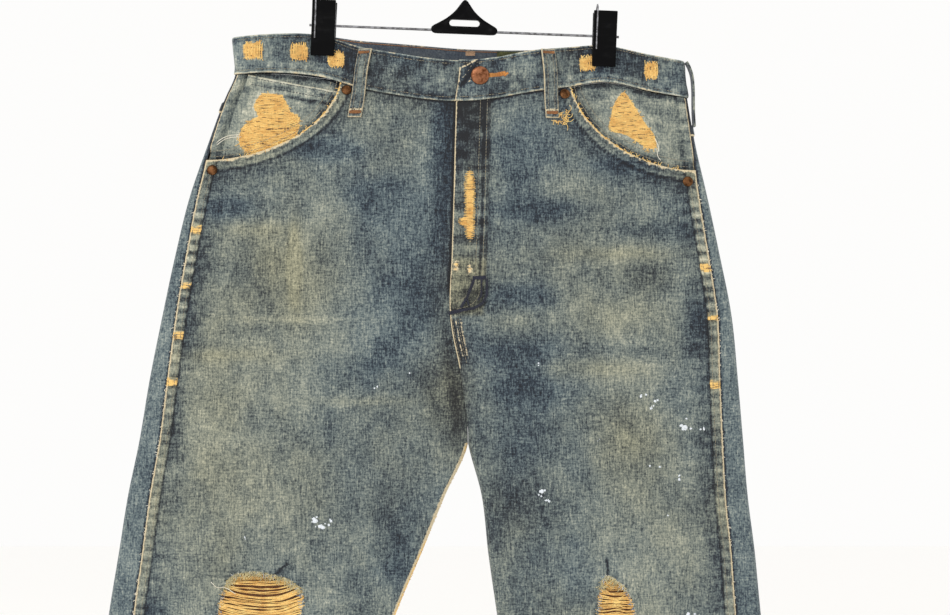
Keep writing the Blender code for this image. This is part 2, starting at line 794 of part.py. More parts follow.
def waist_column(face, x, line):
    """One column of the waistband, from its top down to the heads of the pieces below it."""
    tops = waist("front_top" if face == FRONT else "back_top", x)
    z = tops - waist("band", x) * WAIST_SHARES
    folds = [[side_x(side, height) for height in (z, z[-1:])] for side in (RIGHT, LEFT)]
    share = (x - folds[0][1]) / (folds[1][1] - folds[0][1])
    column = surface(face, LEFT, folds[0][0] + (folds[1][0] - folds[0][0]) * share, z)
    column[-1] = (x, *(np.interp(x, line[:, 0], line[:, k]) for k in (1, 2)))
    column[-1, 2] += SEAM_GAP
    return column


def waistband(fronts, yokes):
    """The waistband: one strip from its buttonhole end round the waist to the end under it."""
    front_line = heads(FRONT, fronts, yokes)
    back_line = heads(BACK, fronts, yokes)
    start = float(centre_x(LEFT, BUTTON_Z))
    lap = FLY_WIDTH - 3
    over = WAISTBAND + LAP_GAP
    front_places = waist_places(front_line)
    lapped = [start + off for off in (0.0, 2.5, 13.0, 21.7, lap + 1.5)]
    columns = [(FRONT, x, over) for x in lapped]
    columns += [(FRONT, start + lap + 12, 0)]
    columns += [(FRONT, x, 0) for x in front_places if x > start + lap + 16]
    columns += [(BACK, x, 0) for x in waist_places(back_line)[::-1]]
    columns += [(FRONT, x, 0) for x in front_places if x < start - 3]
    columns += [(FRONT, start + off, 0) for off in (0, lap / 2, lap)]
    lines = {FRONT: front_line, BACK: back_line}
    grid = np.stack([waist_column(face, x, lines[face]) for face, x, _ in columns], axis=1)
    low = np.array([rise for _, _, rise in columns]) + np.zeros((len(WAIST_SHARES), 1))
    high = low + WAISTBAND * np.array([0.72, 1.0, 1.0, 1.0, 0.8])[:, None]
    facing_out = np.array([(0, face, 0) for face, _, _ in columns])
    band = wall("waistband", grid, low, high, DENIM, facing_out, seams=(-1,))
    turns = np.linspace(0, 2 * math.pi, 12, endpoint=False)
    hole = [(BUTTON_X + 3.8 * math.cos(t), BUTTON_Z + 3.8 * math.sin(t)) for t in turns]
    between = depth(FRONT, LEFT, BUTTON_X, BUTTON_Z) + WAISTBAND + LAP_GAP / 2
    cut(band, "buttonhole", prism("buttonhole", hole, -70, -between))


def facing(side, front):
    """The cloth behind a pocket's scoop. Along the outseam it comes up level with the front."""
    pocket = POCKETS[side]
    below = FACING_DEPTH[side]
    shares = np.linspace(0, 1, 8)
    inner_end = pocket.corner_x - side * FACING_HEM

    def columns(z):
        seam = side_x(side, z) - side * (level("seam", z) + SEAM_GAP / 2)
        marks = (0, 0.035, 0.08, 0.14, 0.26, 0.38, 0.5, 0.62, 0.74, 0.86, 0.95, 1.0)
        return [FRONT] * len(marks), [seam * (1 - m) + inner_end * m for m in marks]

    def lift(face, x, share):
        top = band_foot(FRONT, x) - 3 * SEAM_GAP
        foot = np.minimum(scoop_z(side, x, FACING_HEM), top - FACING_HEM)
        return top + (foot - top) * share

    points = panel_grid(side, columns, shares, lift)
    points = on_panel(front, points[..., 0], points[..., 2])
    from_seam = side * (points[:, :1, 0] - points[..., 0])
    rise = step((9.0 - from_seam) / 5) * step((points[..., 2] - pocket.foot_z - 5) / 8)
    low = below * (1 - rise)
    edges = {0: outward(FRONT, side, points[:, 0, 0], points[:, 0, 2])}
    wall(SIDE_NAME[side] + "_facing", points, low, low + CLOTH, DENIM, (0, FRONT, 0), edges)
    return points


def coin_pocket(panel):
    """The coin pocket, from the points of the facing that it lies on: it runs on under the front."""
    shares = np.array([0, 0.2, 0.23, 0.6, 1.0])
    (x0, z0), (x1, z1) = COIN_TOP
    points = np.empty((len(shares), panel.shape[1], 3))
    for j in range(panel.shape[1]):
        upward = panel[::-1, j]
        top = z0 + (z1 - z0) * (upward[-1, 0] - x0) / (x1 - x0)
        z = top + (upward[0, 2] + 3 - top) * shares
        for k in range(3):
            points[:, j, k] = np.interp(z, upward[:, 2], upward[:, k])
    low = COIN_DEPTH
    high = low + np.where(shares < 0.22, 1.2, 0.9)[:, None]
    wall("coin_pocket", points, low, high, DENIM, (0, FRONT, 0))


def back_pocket(side):
    """A patch pocket on a back, with a thicker hem along its top."""
    pocket = BACK_POCKETS[side]
    shares = np.array([0, 0.13, 0.14, 0.4, 0.7, 1.0])
    marks = np.linspace(0, 1, 7)
    corners = [np.array(c, float) for c in pocket[:4]]
    points = np.empty((len(shares), len(marks), 3))
    for i, share in enumerate(shares):
        inner = corners[0] * (1 - share) + corners[2] * share
        outer = corners[1] * (1 - share) + corners[3] * share
        for j, mark in enumerate(marks):
            x, z = inner * (1 - mark) + outer * mark
            z -= share * pocket.point_drop * (1 - abs(2 * mark - 1))
            points[i, j] = surface(BACK, side, x, z)
    low = CLOTH + 0.65
    high = low + CLOTH + np.where(shares < 0.135, 0.7, 0.0)[:, None]
    wall(SIDE_NAME[side] + "_back_pocket", points, low, high, DENIM, (0, BACK, 0))


def belt_loop(loop):
    """A belt loop that lies along the waistband and is tacked down below it."""
    top = waist("front_top" if loop.face == FRONT else "back_top", loop.top_x) - 0.5
    foot = band_foot(loop.face, loop.foot_x)
    z = np.array([top, top - 5, top - 14, foot + 8, foot - 2, foot - 9, top - loop.length])
    low = np.array([3.1, 4.0, 4.9, 4.6, 3.6, 1.8, 1.6]) + np.array([0, 0, 0, 0, 0, 0.3, 0.3])
    if loop.face == BACK:
        low[-2:] += FELL_RISE if loop.name.startswith("centre") else 0
    middle = loop.top_x + (loop.foot_x - loop.top_x) * (top - z) / loop.length
    offs = np.array([-0.5, 0.0, 0.5]) * LOOP_WIDTH
    x = middle[:, None] + offs[None, :]
    side = RIGHT if loop.top_x < 0 else LEFT
    points = surface(loop.face, side, x, np.repeat(z[:, None], len(offs), axis=1))
    low = low[:, None] + np.zeros(len(offs))
    wall(loop.name, points, low, low + LOOP_CLOTH, DENIM, (0, loop.face, 0))


def side_loop():
    """The belt loop at the wearer's left side, which stands off the fold."""
    inside = open_curve(SIDE_LOOP, 13)
    run = np.gradient(inside, axis=0)
    across = np.stack([-run[:, 1], run[:, 0]], axis=1) / np.linalg.norm(run, axis=1, keepdims=True)
    outside = inside + across * LOOP_CLOTH
    outline = [*inside, *outside[::-1]]
    mesh = prism("left_side_loop", outline, -LOOP_WIDTH / 2, LOOP_WIDTH / 2)
    new_object("left_side_loop", mesh, DENIM)


def label_strip():
    """The bare woven strip sewn inside the back waistband."""
    marks = np.linspace(27, 79, 5)
    shares = np.linspace(0.06, 0.72, 3)
    x = np.repeat(marks[None, :], 3, axis=0)
    z = waist("back_top", x) - waist("band", x) * shares[:, None]
    wall("label_strip", surface(BACK, LEFT, x, z), -1.3, -0.7, OLIVE, (0, BACK, 0))


def rip_sides(side, z):
    """x of a rip's two edges at height z."""
    outline = closed_curve(RIPS[side].outline, 96)
    following = np.roll(outline, -1, axis=0)
    found = []
    for (xa, za), (xb, zb) in zip(outline, following):
        if min(za, zb) <= z < max(za, zb):
            found.append(xa + (xb - xa) * (z - za) / (zb - za))
    return min(found), max(found)


def rip_threads(side):
    """The weft threads across a rip, left standing on a narrow strip of cloth behind each edge."""
    rip = RIPS[side]
    pitch = (rip.top - rip.bottom) / rip.threads
    marks = np.array([0.0, 0.0, 0.2, 0.4, 0.6, 0.8, 1.0, 1.0])
    strip = np.array([-8.0, -3.5, 0, 0, 0, 0, 3.5, 8.0])
    rows = []
    for k in range(rip.threads + 1):
        middle = rip.top - k * pitch
        rows += [middle + THREAD / 2, middle - THREAD / 2]
    points = np.empty((len(rows), len(marks), 3))
    for i, z in enumerate(rows):
        left, right = rip_sides(side, z)
        wave = math.sin(1.7 * (i // 2) + side)
        for j, (mark, beyond) in enumerate(zip(marks, strip)):
            arch = 4 * mark * (1 - mark)
            x = left + (right - left) * mark + beyond
            points[i, j] = surface(FRONT, side, x, z)
            points[i, j, 1] += arch * (0.8 + 0.8 * wave)
            points[i, j, 2] -= arch * (rip.sag + 0.9 * wave)
    keep = np.ones((len(rows) - 1, len(marks) - 1), bool)
    keep[1::2, 1:-1] = False
    wall(SIDE_NAME[side] + "_rip_threads", points, -1.5, -0.6, THREADS, (0, FRONT, 0), keep=keep)


def button():
    """The waist button: its head over the buttonhole and its shank down to the layer under it."""
    low = WAISTBAND + SEAM_GAP
    head = 2 * WAISTBAND + LAP_GAP + SEAM_GAP
    radius = BUTTON_RADIUS
    profile = (
        (0, head + 3.0), (3.6, head + 2.9), (4.4, head + 2.5), (6.2, head + 2.7), (radius - 0.5, head + 2.1),
        (radius, head + 1.2), (radius - 0.5, head + 0.2), (3.0, head), (3.0, low), (0, low),
    )
    place = surface(FRONT, LEFT, BUTTON_X, BUTTON_Z)
    turned("button", profile, 20, place, (0, FRONT, 0), COPPER)


def rivets():
    """The four rivets at the pockets' corners."""
    for number, (x, z) in enumerate(RIVETS, 1):
        side = RIGHT if x < 0 else LEFT
        base = CLOTH + (FELL_RISE if number > 2 else 0.45) + 0.55
        profile = ((0, base + 1.7), (1.7, base + 1.6), (3.6, base + 1.1), (RIVET_RADIUS, base + 0.4),
                   (RIVET_RADIUS, base), (0, base))
        direction = outward(FRONT, side, np.array(x), np.array(z))
        turned(f"rivet_{number}", profile, 16, surface(FRONT, side, x, z), direction, COPPER)


def hanger():
    """The hanger: its hook, head and cross wire, and the two clips, all tipped together."""
    tipped = bpy.data.objects.new("hanger", None)
    PART.objects.link(tipped)
    tipped.rotation_euler.y = HANGER_TILT
    radius = HOOK_RADIUS + HOOK_WIRE / 2
    turns = np.radians(np.linspace(198, -42, 19))
    arc = [(radius * math.cos(t), 0, -HOOK_RADIUS + radius * math.sin(t)) for t in turns]
    neck = open_curve([arc[-1], (6.5, 0, -39), (1.2, 0, -47), (0, 0, -54), (0, 0, HEAD_TOP_Z + 0.3)], 10)
    tube("hook", [*arc, *neck[1:]], HOOK_WIRE, STEEL, tipped)

    outline = ((-4, HEAD_TOP_Z), (4, HEAD_TOP_Z), (HEAD_HALF, BAR_Z + 3.5), (HEAD_HALF, HEAD_FOOT_Z),
               (-HEAD_HALF, HEAD_FOOT_Z), (-HEAD_HALF, BAR_Z + 3.5))
    data = prism("hanger_head", outline, -HEAD_DEPTH / 2, HEAD_DEPTH / 2)
    head = new_object("hanger_head", data, BLACK, tipped)
    slot = ((-14, -86.5), (14, -86.5), (8, -80.5), (-8, -80.5))
    cut(head, "head_slot", prism("head_slot", slot, -HEAD_DEPTH, HEAD_DEPTH), tipped)
    round_edges(head, 0.8)

    for side in (RIGHT, LEFT):
        name = SIDE_NAME[side]
        start = side * (HEAD_HALF + 0.3)
        tube(name + "_bar", [(start, 0, BAR_Z), (side * BAR_HALF, 0, BAR_Z)], BAR_WIRE, STEEL, tipped)
        clip(side, tipped)


def clip(side, tipped):
    """A clip: a jaw in front, a jaw behind, and the spring that presses them."""
    name = SIDE_NAME[side]
    middle = side * CLIP_X
    bite = GRIP_GAP + WAISTBAND + 0.35
    inside = ((bite, -119.5), (bite, -98), (1.9, -92.5), (1.9, -89.5), (4.0, -80), (6.6, -68))
    outside = ((9.6, -68), (8.0, -80), (7.6, -91), (7.6, -106), (6.2, -119.5))
    for face, label in ((FRONT, "front"), (BACK, "back")):
        outline = [(face * y, z) for y, z in (*inside, *outside)]
        data = prism(name, outline, middle - CLIP_WIDTH / 2, middle + CLIP_WIDTH / 2, "X")
        round_edges(new_object(f"{name}_clip_{label}", data, BLACK, tipped), 0.8)
    off = SPRING_WIRE / 2 + 0.3
    leg = ((-7.6 - off, -104), (-7.6 - off, -91), (-8.2 - off, -80), (-9.6 - off, -69))
    half = [*leg, (-9.0, -65.2), (-5.0, -62.6)]
    whole = [*half, (0, -61.8), *[(-y, z) for y, z in half[::-1]]]
    path = open_curve([(middle - 7.5, y, z) for y, z in whole], 15)
    tube(name + "_clip_spring", path, SPRING_WIRE, STEEL, tipped)


def material(name, colour, roughness, metallic=0.0):
    """A plain material."""
    made = bpy.data.materials.new(name)
    made.use_nodes = True
    shader = made.node_tree.nodes["Principled BSDF"]
    shader.inputs["Base Color"].default_value = (*colour, 1)
    shader.inputs["Roughness"].default_value = roughness
    shader.inputs["Metallic"].default_value = metallic
    return made


for old in list(bpy.data.objects):
    bpy.data.objects.remove(old)
PART = bpy.data.collections.new("Ripped jeans on a clip hanger")
CUTTERS = bpy.data.collections.new("Cutters")
for collection in (PART, CUTTERS):
    bpy.context.scene.collection.children.link(collection)

DENIM = material("denim", (0.085, 0.13, 0.18), 0.9)
OLIVE = material("olive tape", (0.11, 0.10, 0.045), 0.9)
THREADS = material("weft thread", (0.76, 0.46, 0.17), 0.95)
COPPER = material("aged copper", (0.30, 0.15, 0.09), 0.45, 0.9)
STEEL = material("steel wire", (0.45, 0.45, 0.46), 0.35, 1.0)
BLACK = material("black plastic", (0.012, 0.012, 0.013), 0.35)

hanger()
fronts = {half: front_points(half) for half in (RIGHT, LEFT)}
yokes = {half: yoke_points(half) for half in (RIGHT, LEFT)}
waistband(fronts, yokes)
label_strip()
for half in (RIGHT, LEFT):
    front_panel(half, fronts[half])
    back_panel(half)
    yoke(half, yokes[half])
    back_pocket(half)
    rip_threads(half)
coin_pocket(facing(RIGHT, fronts[RIGHT])[:, 3:11])
facing(LEFT, fronts[LEFT])
for each in LOOPS:
    belt_loop(each)
side_loop()
button()
rivets()
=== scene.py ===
# %% [markdown]
# # Worn jeans on a clip hanger
#
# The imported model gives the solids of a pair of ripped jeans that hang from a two-clip hanger. This
# lesson dresses them: each cut piece becomes a fine cloth shell on the same form, and then come the
# seams, stitches, worn patches, threads and metal. Lengths are in millimetres until a mesh is made.
# +X is to the right as the front is seen, -Y is the front, and the wearer's right leg is at -X.

import math
from collections import namedtuple

import bpy
import numpy as np
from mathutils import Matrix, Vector


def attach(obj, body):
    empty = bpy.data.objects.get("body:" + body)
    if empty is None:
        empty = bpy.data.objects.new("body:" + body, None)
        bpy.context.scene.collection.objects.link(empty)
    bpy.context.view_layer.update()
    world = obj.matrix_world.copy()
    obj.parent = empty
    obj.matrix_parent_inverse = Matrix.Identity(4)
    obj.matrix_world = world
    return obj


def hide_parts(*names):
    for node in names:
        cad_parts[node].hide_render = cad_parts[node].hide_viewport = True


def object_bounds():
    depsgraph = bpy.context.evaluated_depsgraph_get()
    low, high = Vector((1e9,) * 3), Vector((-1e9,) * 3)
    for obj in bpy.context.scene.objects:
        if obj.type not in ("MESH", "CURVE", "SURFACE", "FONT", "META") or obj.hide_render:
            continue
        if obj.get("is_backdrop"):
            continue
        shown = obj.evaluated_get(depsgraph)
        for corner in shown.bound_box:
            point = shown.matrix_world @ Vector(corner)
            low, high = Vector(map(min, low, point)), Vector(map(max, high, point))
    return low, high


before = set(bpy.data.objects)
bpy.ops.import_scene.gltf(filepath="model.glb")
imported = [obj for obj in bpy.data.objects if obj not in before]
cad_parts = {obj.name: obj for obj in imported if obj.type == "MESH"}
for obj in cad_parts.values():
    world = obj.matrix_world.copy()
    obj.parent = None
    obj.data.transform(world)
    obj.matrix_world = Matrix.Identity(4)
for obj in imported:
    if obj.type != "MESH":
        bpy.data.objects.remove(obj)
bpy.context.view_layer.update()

# %% [markdown]
# ## The camera
#
# The photograph looks level at the middle of the visible part, from far enough away that the sides
# hardly converge. One pixel is 0.93 mm there, so the view is 884 mm wide.

# %% Camera
MM = 0.001
camera_data = bpy.data.cameras.new("camera")
camera_data.sensor_width = 36
camera_data.lens = 36 * 1.8 / 0.8835
camera = bpy.data.objects.new("camera", camera_data)
camera.location = (0.0065, -1.8, -0.348)
camera.rotation_euler = (math.pi / 2, 0, 0)
bpy.context.scene.collection.objects.link(camera)
bpy.context.scene.camera = camera
print("lens:", round(camera_data.lens, 1))

# %% [markdown]
# ## The garment's form
#
# Flat jeans are a flattened tube: a front sheet and a back sheet that meet in a round fold at each
# side. A table of levels gives the outline and how far each sheet stands out, and every piece is
# made from points of that surface. These are the solids' own tables, so that the shells fit them. Only
# the back's top edge is up to 2.7 mm higher here, so that more of the waistband's inside shows.

# %% Names and sizes
RIGHT, LEFT = -1, 1
FRONT, BACK = -1, 1
SIDES, SIDE_NAME = (RIGHT, LEFT), {RIGHT: "right", LEFT: "left"}
CLOTH, SEAM_GAP, WAISTBAND, LAP_GAP = 1.2, 0.3, 2.8, 0.4
FELL_WIDTH, FELL_RISE, FOLD_RADIUS = 9.5, 1.2, 5.0
HEM_HEIGHT, HEM_RISE = 12.0, 1.4
CROTCH_Z, CLOSING_TOP_Z, HEM_Z = -474.0, -345.0, -1274.0
PANEL_TOP_Z, LEVEL_Z, BACK_LEVEL_Z = -138.0, -300.0, -420.0
FLY_BOTTOM_Z, FLY_WIDTH, FLY_RISE = -356.0, 31.0, 2.3
YOKE_CENTRE_Z, YOKE_DROP, YOKE_TILT, SIDE_REACH = -212.0, 34.0, 0.05, 215.0
HANGER_TILT = math.radians(2.24)
CLIP_X, BAR_Z = 130.5, -91.0
GRIP_HALF, GRIP_FADE, GRIP_DEPTH, GRIP_FADE_DOWN, GRIP_GAP = 12.5, 62.0, 21.5, 42.0, 0.25
FOLD_FADE, FELL_END = 0.35, FELL_WIDTH + 1.2

# One level: x of the outside at both sides and both inner edges, and how far it stands out.
Section = namedtuple("Section", "z right_side left_side right_inner left_inner front back seam")
SECTIONS = [Section(*row) for row in (
    (-98, -218, 198.5, -10.5, -10.5, 9.5, 8.5, 1.5), (-134, -217, 201, -10.7, -10.7, 13, 12, 1.5),
    (-152, -225, 203.5, -11, -11, 14, 14, 1.5), (-200, -243, 212, -12.3, -12.3, 16, 19, 3),
    (-243, -258, 222, -13.3, -13.3, 18, 23, 7), (-299, -272, 234, -15, -15, 20, 26, 10),
    (-355, -284, 245, -16.5, -16.5, 20, 27, 12.5), (-415, -296, 251, -5, -5, 19, 25, 16.5),
    (-474, -306, 256, 0, 0, 17, 22, 19), (-522, -316, 260, -21, 12.5, 16, 20, 20.5),
    (-578, -325, 267, -44, 19, 16, 18, 22), (-620, -332, 271, -62, 25, 15, 17, 23),
    (-800, -352, 290, -118, 52, 13, 14, 24), (-1030, -364, 300, -144, 77, 12, 13, 23),
    (-1274, -372, 304, -160, 92, 12, 13, 22),
)]

# A place along the waist's top edge, and the height of the band below it.
WaistPoint = namedtuple("WaistPoint", "x front_top back_top band")
WAIST = [WaistPoint(*row) for row in (
    (-220, -98, -98, 34), (-184, -94.5, -94.5, 35.5), (-134, -95.5, -95.5, 39), (-102, -106, -99.5, 38),
    (-67, -113.5, -101.5, 38), (0, -120, -106.8, 37.5), (66, -109.5, -107.4, 38),
    (90, -107, -106.4, 37), (127, -104.5, -104.5, 34), (172, -113.5, -113.5, 34.5),
    (203, -119.5, -119.5, 34),
)]

# %% [markdown]
# ## Folds
#
# Cotton that has hung for a while keeps soft folds. Each one runs from a point to another, and its
# depth dies away at both ends. The first twenty are those of the solids, and the finer ones after
# them are the drag lines at the crotch and the rips, and the faint bows across the thighs.

# %% Folds, large and fine
# A fold's row: x and z of its start and its end, its half width, and its depth, below 0 for a ridge.
FOLDS = {
    FRONT: (
        (-34, -250, -38, -385, 14, 2.6), (-52, -380, -8, -470, 15, 3.0), (44, -385, 8, -460, 15, 2.2),
        (-225, -322, -95, -300, 24, 1.8), (-250, -412, -110, -398, 24, -2.0),
        (85, -330, 215, -312, 24, 1.8), (90, -425, 225, -402, 24, -2.0),
        (-66, -520, -84, -700, 24, 2.6), (-300, -800, -180, -770, 34, -2.8),
        (-330, -900, -190, -940, 36, 2.6), (90, -790, 240, -815, 34, -2.8),
        (110, -950, 260, -905, 36, 2.6),
    ),
    BACK: (
        (-250, -505, -80, -470, 26, 3.2), (60, -475, 215, -500, 26, 3.2),
        (-280, -575, -120, -550, 30, -2.4), (70, -558, 225, -582, 30, -2.4),
        (-320, -790, -160, -820, 32, 3.0), (85, -825, 255, -785, 32, 3.0),
        (-335, -900, -180, -880, 34, -2.6), (100, -885, 270, -910, 34, -2.6),
    ),
}
FINE_FOLDS = {
    FRONT: (
        (-22, -345, -10, -470, 5, 2.2), (-34, -372, -14, -462, 5, -1.6), (-46, -392, -20, -478, 5, 1.7),
        (-30, -150, -26, -330, 6, 1.8), (-40, -170, -38, -330, 7, -0.9), (12, -374, 44, -392, 4, 0.9),
        (8, -390, 40, -412, 4, -0.7), (46, -160, 44, -290, 5, 1.0), (56, -170, 52, -280, 6, -0.8),
        (-182, -607, -152, -572, 4, 2.0), (-174, -590, -140, -560, 5, -1.0),
        (-150, -625, -78, -612, 5, -1.2), (-150, -634, -84, -622, 5, 1.0),
        (128, -572, 129, -604, 3, 1.6), (100, -568, 122, -596, 5, -0.9),
        (142, -604, 160, -570, 5, -0.8), (-262, -362, -60, -357, 3, -0.9),
        (-250, -369, -90, -365, 4, 0.8), (-240, -338, -120, -330, 4, 0.6),
        (-140, -438, -60, -428, 4, -0.8), (-262, -475, -170, -466, 5, -0.8),
        (-255, -487, -160, -480, 5, 0.7), (112, -366, 205, -378, 4, 0.8),
        (130, -380, 214, -392, 4, -0.7), (118, -404, 190, -399, 4, -0.9),
        (90, -312, 200, -300, 5, -0.7), (105, -560, 172, -538, 6, 0.9), (172, -538, 226, -566, 6, 0.9),
        (96, -586, 168, -562, 6, 0.8), (168, -562, 222, -584, 6, 0.8), (-214, -240, -120, -232, 5, 0.5),
        (-230, -258, -150, -262, 5, -0.6), (-88, -505, -52, -600, 6, 1.6),
        (-102, -520, -72, -640, 7, -1.1), (-300, -760, -170, -742, 8, 1.3),
        (96, -748, 236, -770, 8, 1.2), (-310, -846, -180, -862, 8, 1.2), (104, -868, 250, -846, 8, 1.2),
        (-340, -1120, -210, -1085, 12, -1.6), (120, -1100, 262, -1130, 12, -1.6),
    ),
    BACK: (
        (-20, -400, -90, -455, 7, 1.8), (0, -400, 62, -450, 7, 1.7), (-232, -398, -110, -408, 6, 1.0),
        (52, -412, 196, -402, 6, 1.0), (-250, -520, -120, -497, 7, -1.2),
        (80, -496, 214, -520, 7, -1.2), (-300, -765, -190, -772, 6, 1.5),
        (-306, -778, -170, -790, 5, -1.2), (-312, -838, -180, -826, 6, 1.5),
        (96, -770, 236, -764, 6, 1.5), (90, -800, 240, -806, 5, -1.2), (100, -842, 246, -832, 6, 1.5),
        (-330, -1110, -200, -1140, 12, -1.6), (118, -1130, 266, -1104, 12, -1.6),
    ),
}
print(sum(map(len, FOLDS.values())), "large folds and", sum(map(len, FINE_FOLDS.values())), "fine ones")

# %% [markdown]
# ## The surface as formulas
#
# `depth` says how far a sheet stands from the middle plane. It joins the folded sides, the lens
# between them, the closing at the crotch, the folds and the two places where the clips press the
# waist flat. Low lumps keep the cloth from looking ironed, and none of them reaches a fold or a clip.

# %% Smooth curves and steps
def smooth_curve(at, values, x):
    """A smooth curve through the values at the rising places, held level past its ends."""
    at = np.asarray(at, float)
    values = np.asarray(values, float)
    slope = np.gradient(values, at)
    x = np.asarray(x, float)
    i = np.clip(np.searchsorted(at, x) - 1, 0, len(at) - 2)
    span = at[i + 1] - at[i]
    t = np.clip((x - at[i]) / span, 0, 1)
    rise = t * t * (3 - 2 * t)
    start = t * (1 - t) ** 2 * span
    end = t * t * (t - 1) * span
    return values[i] * (1 - rise) + values[i + 1] * rise + slope[i] * start + slope[i + 1] * end


def step(t):
    """A soft step from 0 to 1."""
    t = np.clip(t, 0, 1)
    return t * t * (3 - 2 * t)


def ridge(off, width):
    """A soft ridge: 1 at its middle, and nothing a few widths away."""
    return np.exp(-((off / width) ** 2))


def unit(vectors):
    """Vectors of length 1 in the same directions."""
    return vectors / np.maximum(np.linalg.norm(vectors, axis=-1, keepdims=True), 1e-9)


def quarter_round(t):
    """The rise of a quarter circle, from 0 to 1."""
    return np.sqrt(1 - (1 - np.clip(t, 0, 1)) ** 2)


def lumps(x, z, size, seed):
    """Smooth chance values from -1 to 1, with one lump every few millimetres."""
    table = np.random.default_rng(seed).uniform(-1, 1, (64, 64))
    u, v = np.broadcast_arrays(np.asarray(x, float) / size + 500.3, np.asarray(z, float) / size + 500.7)
    i, j = u.astype(int), v.astype(int)
    s, t = step(u - i), step(v - j)
    near = table[i % 64, j % 64] * (1 - s) + table[(i + 1) % 64, j % 64] * s
    far = table[i % 64, (j + 1) % 64] * (1 - s) + table[(i + 1) % 64, (j + 1) % 64] * s
    return near * (1 - t) + far * t

# %% Levels of the garment
UPWARD = SECTIONS[::-1]
LEVELS = [s.z for s in UPWARD]


def level(name, z):
    """A column of the section table at height z."""
    return smooth_curve(LEVELS, [getattr(s, name) for s in UPWARD], z)


def waist(name, x):
    """A column of the waist table at x."""
    return smooth_curve([w.x for w in WAIST], [getattr(w, name) for w in WAIST], x)


def waist_top(face, x):
    return waist("front_top" if face == FRONT else "back_top", x)


def side_x(side, z):
    """x of the inner surface at the side fold."""
    return level(SIDE_NAME[side] + "_side", z) - side * CLOTH


def seam_x(side, z, off=0.0):
    """x of the outseam, or of a line some millimetres inside it."""
    return side_x(side, z) - side * (level("seam", z) + off)


def centre_x(side, z):
    """x of the centre seam above the crotch, and of the outside of the inseam below it."""
    both = [level(name + "_inner", z) for name in SIDE_NAME.values()]
    return np.where(np.asarray(z) > CROTCH_Z, sum(both) / 2, both[0] if side == RIGHT else both[1])


def inner_x(side, z):
    """x of the inner surface at the centre seam, or at the inseam fold."""
    return centre_x(side, z) + np.where(np.asarray(z) <= CROTCH_Z, side * CLOTH, 0)

# %% Folds and grips
def folded(table, face, x, z):
    """The folds' depth at a point."""
    total = np.zeros(np.broadcast(x, z).shape)
    for x0, z0, x1, z1, width, deep in table[face]:
        run_x, run_z = x1 - x0, z1 - z0
        length = math.hypot(run_x, run_z)
        along = ((x - x0) * run_x + (z - z0) * run_z) / length**2
        off = ((x - x0) * run_z - (z - z0) * run_x) / length
        total += deep * step(np.minimum(along, 1 - along) / FOLD_FADE) * ridge(off, width)
    return total


def clip_centre(side):
    """x of a clip where it grips, after the hanger has tipped."""
    return side * CLIP_X * math.cos(HANGER_TILT) + BAR_Z * math.sin(HANGER_TILT)


def grip(x, z):
    """How firmly the clips press the waist together: 1 under the jaws, 0 away from them."""
    low = 1 - step((waist("front_top", x) - z - GRIP_DEPTH) / GRIP_FADE_DOWN)
    total = np.zeros(np.broadcast(x, z).shape)
    for side in SIDES:
        off = np.abs(x - clip_centre(side))
        total = np.maximum(total, 1 - step((off - GRIP_HALF) / GRIP_FADE))
    return total * low


def seam_pucker(side, x, z):
    """The ropy drawing-in of a front beside its felled outseam."""
    off = np.abs(x - seam_x(side, z))
    wave = np.sin(z / 1.62 + 2.2 * lumps(z, 0 * z, 23, 5)) + 0.5 * lumps(z, x, 6, 6)
    return 0.42 * wave * ridge(off - 6, 7) * step((-232 - z) / 30)

# %% The sheets
def depth(face, leg, x, z):
    """The inner surface's distance from the middle plane at a point of the front or the back."""
    x, z = np.broadcast_arrays(np.asarray(x, float), np.asarray(z, float))
    above = z > CROTCH_Z
    half = np.where(above, np.where(x < centre_x(RIGHT, z), RIGHT, LEFT), leg)
    outer = np.where(half == RIGHT, side_x(RIGHT, z), side_x(LEFT, z))
    inner = np.where(half == RIGHT, inner_x(RIGHT, z), inner_x(LEFT, z))
    width = np.abs(inner - outer)
    from_side = np.clip(half * (outer - x), 0, width)
    from_inner = width - from_side
    s = from_inner / width
    k = step((CLOSING_TOP_Z - z) / (CLOSING_TOP_Z - CROTCH_Z))
    lens = (1 - k) * (1 - s * s) + 4 * k * s * (1 - s)
    soft = FOLD_RADIUS * (1 + 5 * (1 - k))
    closing = 1 - k + k * quarter_round(from_inner / soft)
    edge = FOLD_RADIUS * quarter_round(from_side / FOLD_RADIUS) * closing
    full = level("front" if face == FRONT else "back", z)
    inward = np.where(above, 1, step(from_inner / 30))
    shape = edge + (full - FOLD_RADIUS) * lens - folded(FOLDS, face, x, z) * step(from_side / 30) * inward
    fine = 0.55 * lumps(x, z, 46, 11 + face) + 0.3 * lumps(x, z, 17, 15 + face)
    fine = fine - folded(FINE_FOLDS, face, x, z)
    if face == FRONT:
        fine = fine + np.where(half == RIGHT, seam_pucker(RIGHT, x, z), seam_pucker(LEFT, x, z))
    fine = fine * step((from_side - 4) / 8) * np.where(k > 0.6, step((from_inner - 3) / 10), 1)
    pressed = grip(x, z)
    return np.maximum((shape + fine) * (1 - pressed) + GRIP_GAP * pressed, 0)


def surface(face, leg, x, z):
    """Points of the inner surface."""
    x, z = np.broadcast_arrays(np.asarray(x, float), np.asarray(z, float))
    return np.stack([x, face * depth(face, leg, x, z), z], axis=-1)


def outward(face, leg, x, z, reach=0.4):
    """The surface's outward direction at a point that isn't on a side fold."""
    across = (depth(face, leg, x + reach, z) - depth(face, leg, x - reach, z)) / (2 * reach)
    up = (depth(face, leg, x, z + reach) - depth(face, leg, x, z - reach)) / (2 * reach)
    direction = np.stack([-across, face * np.ones_like(across), -up], axis=-1)
    return unit(direction)


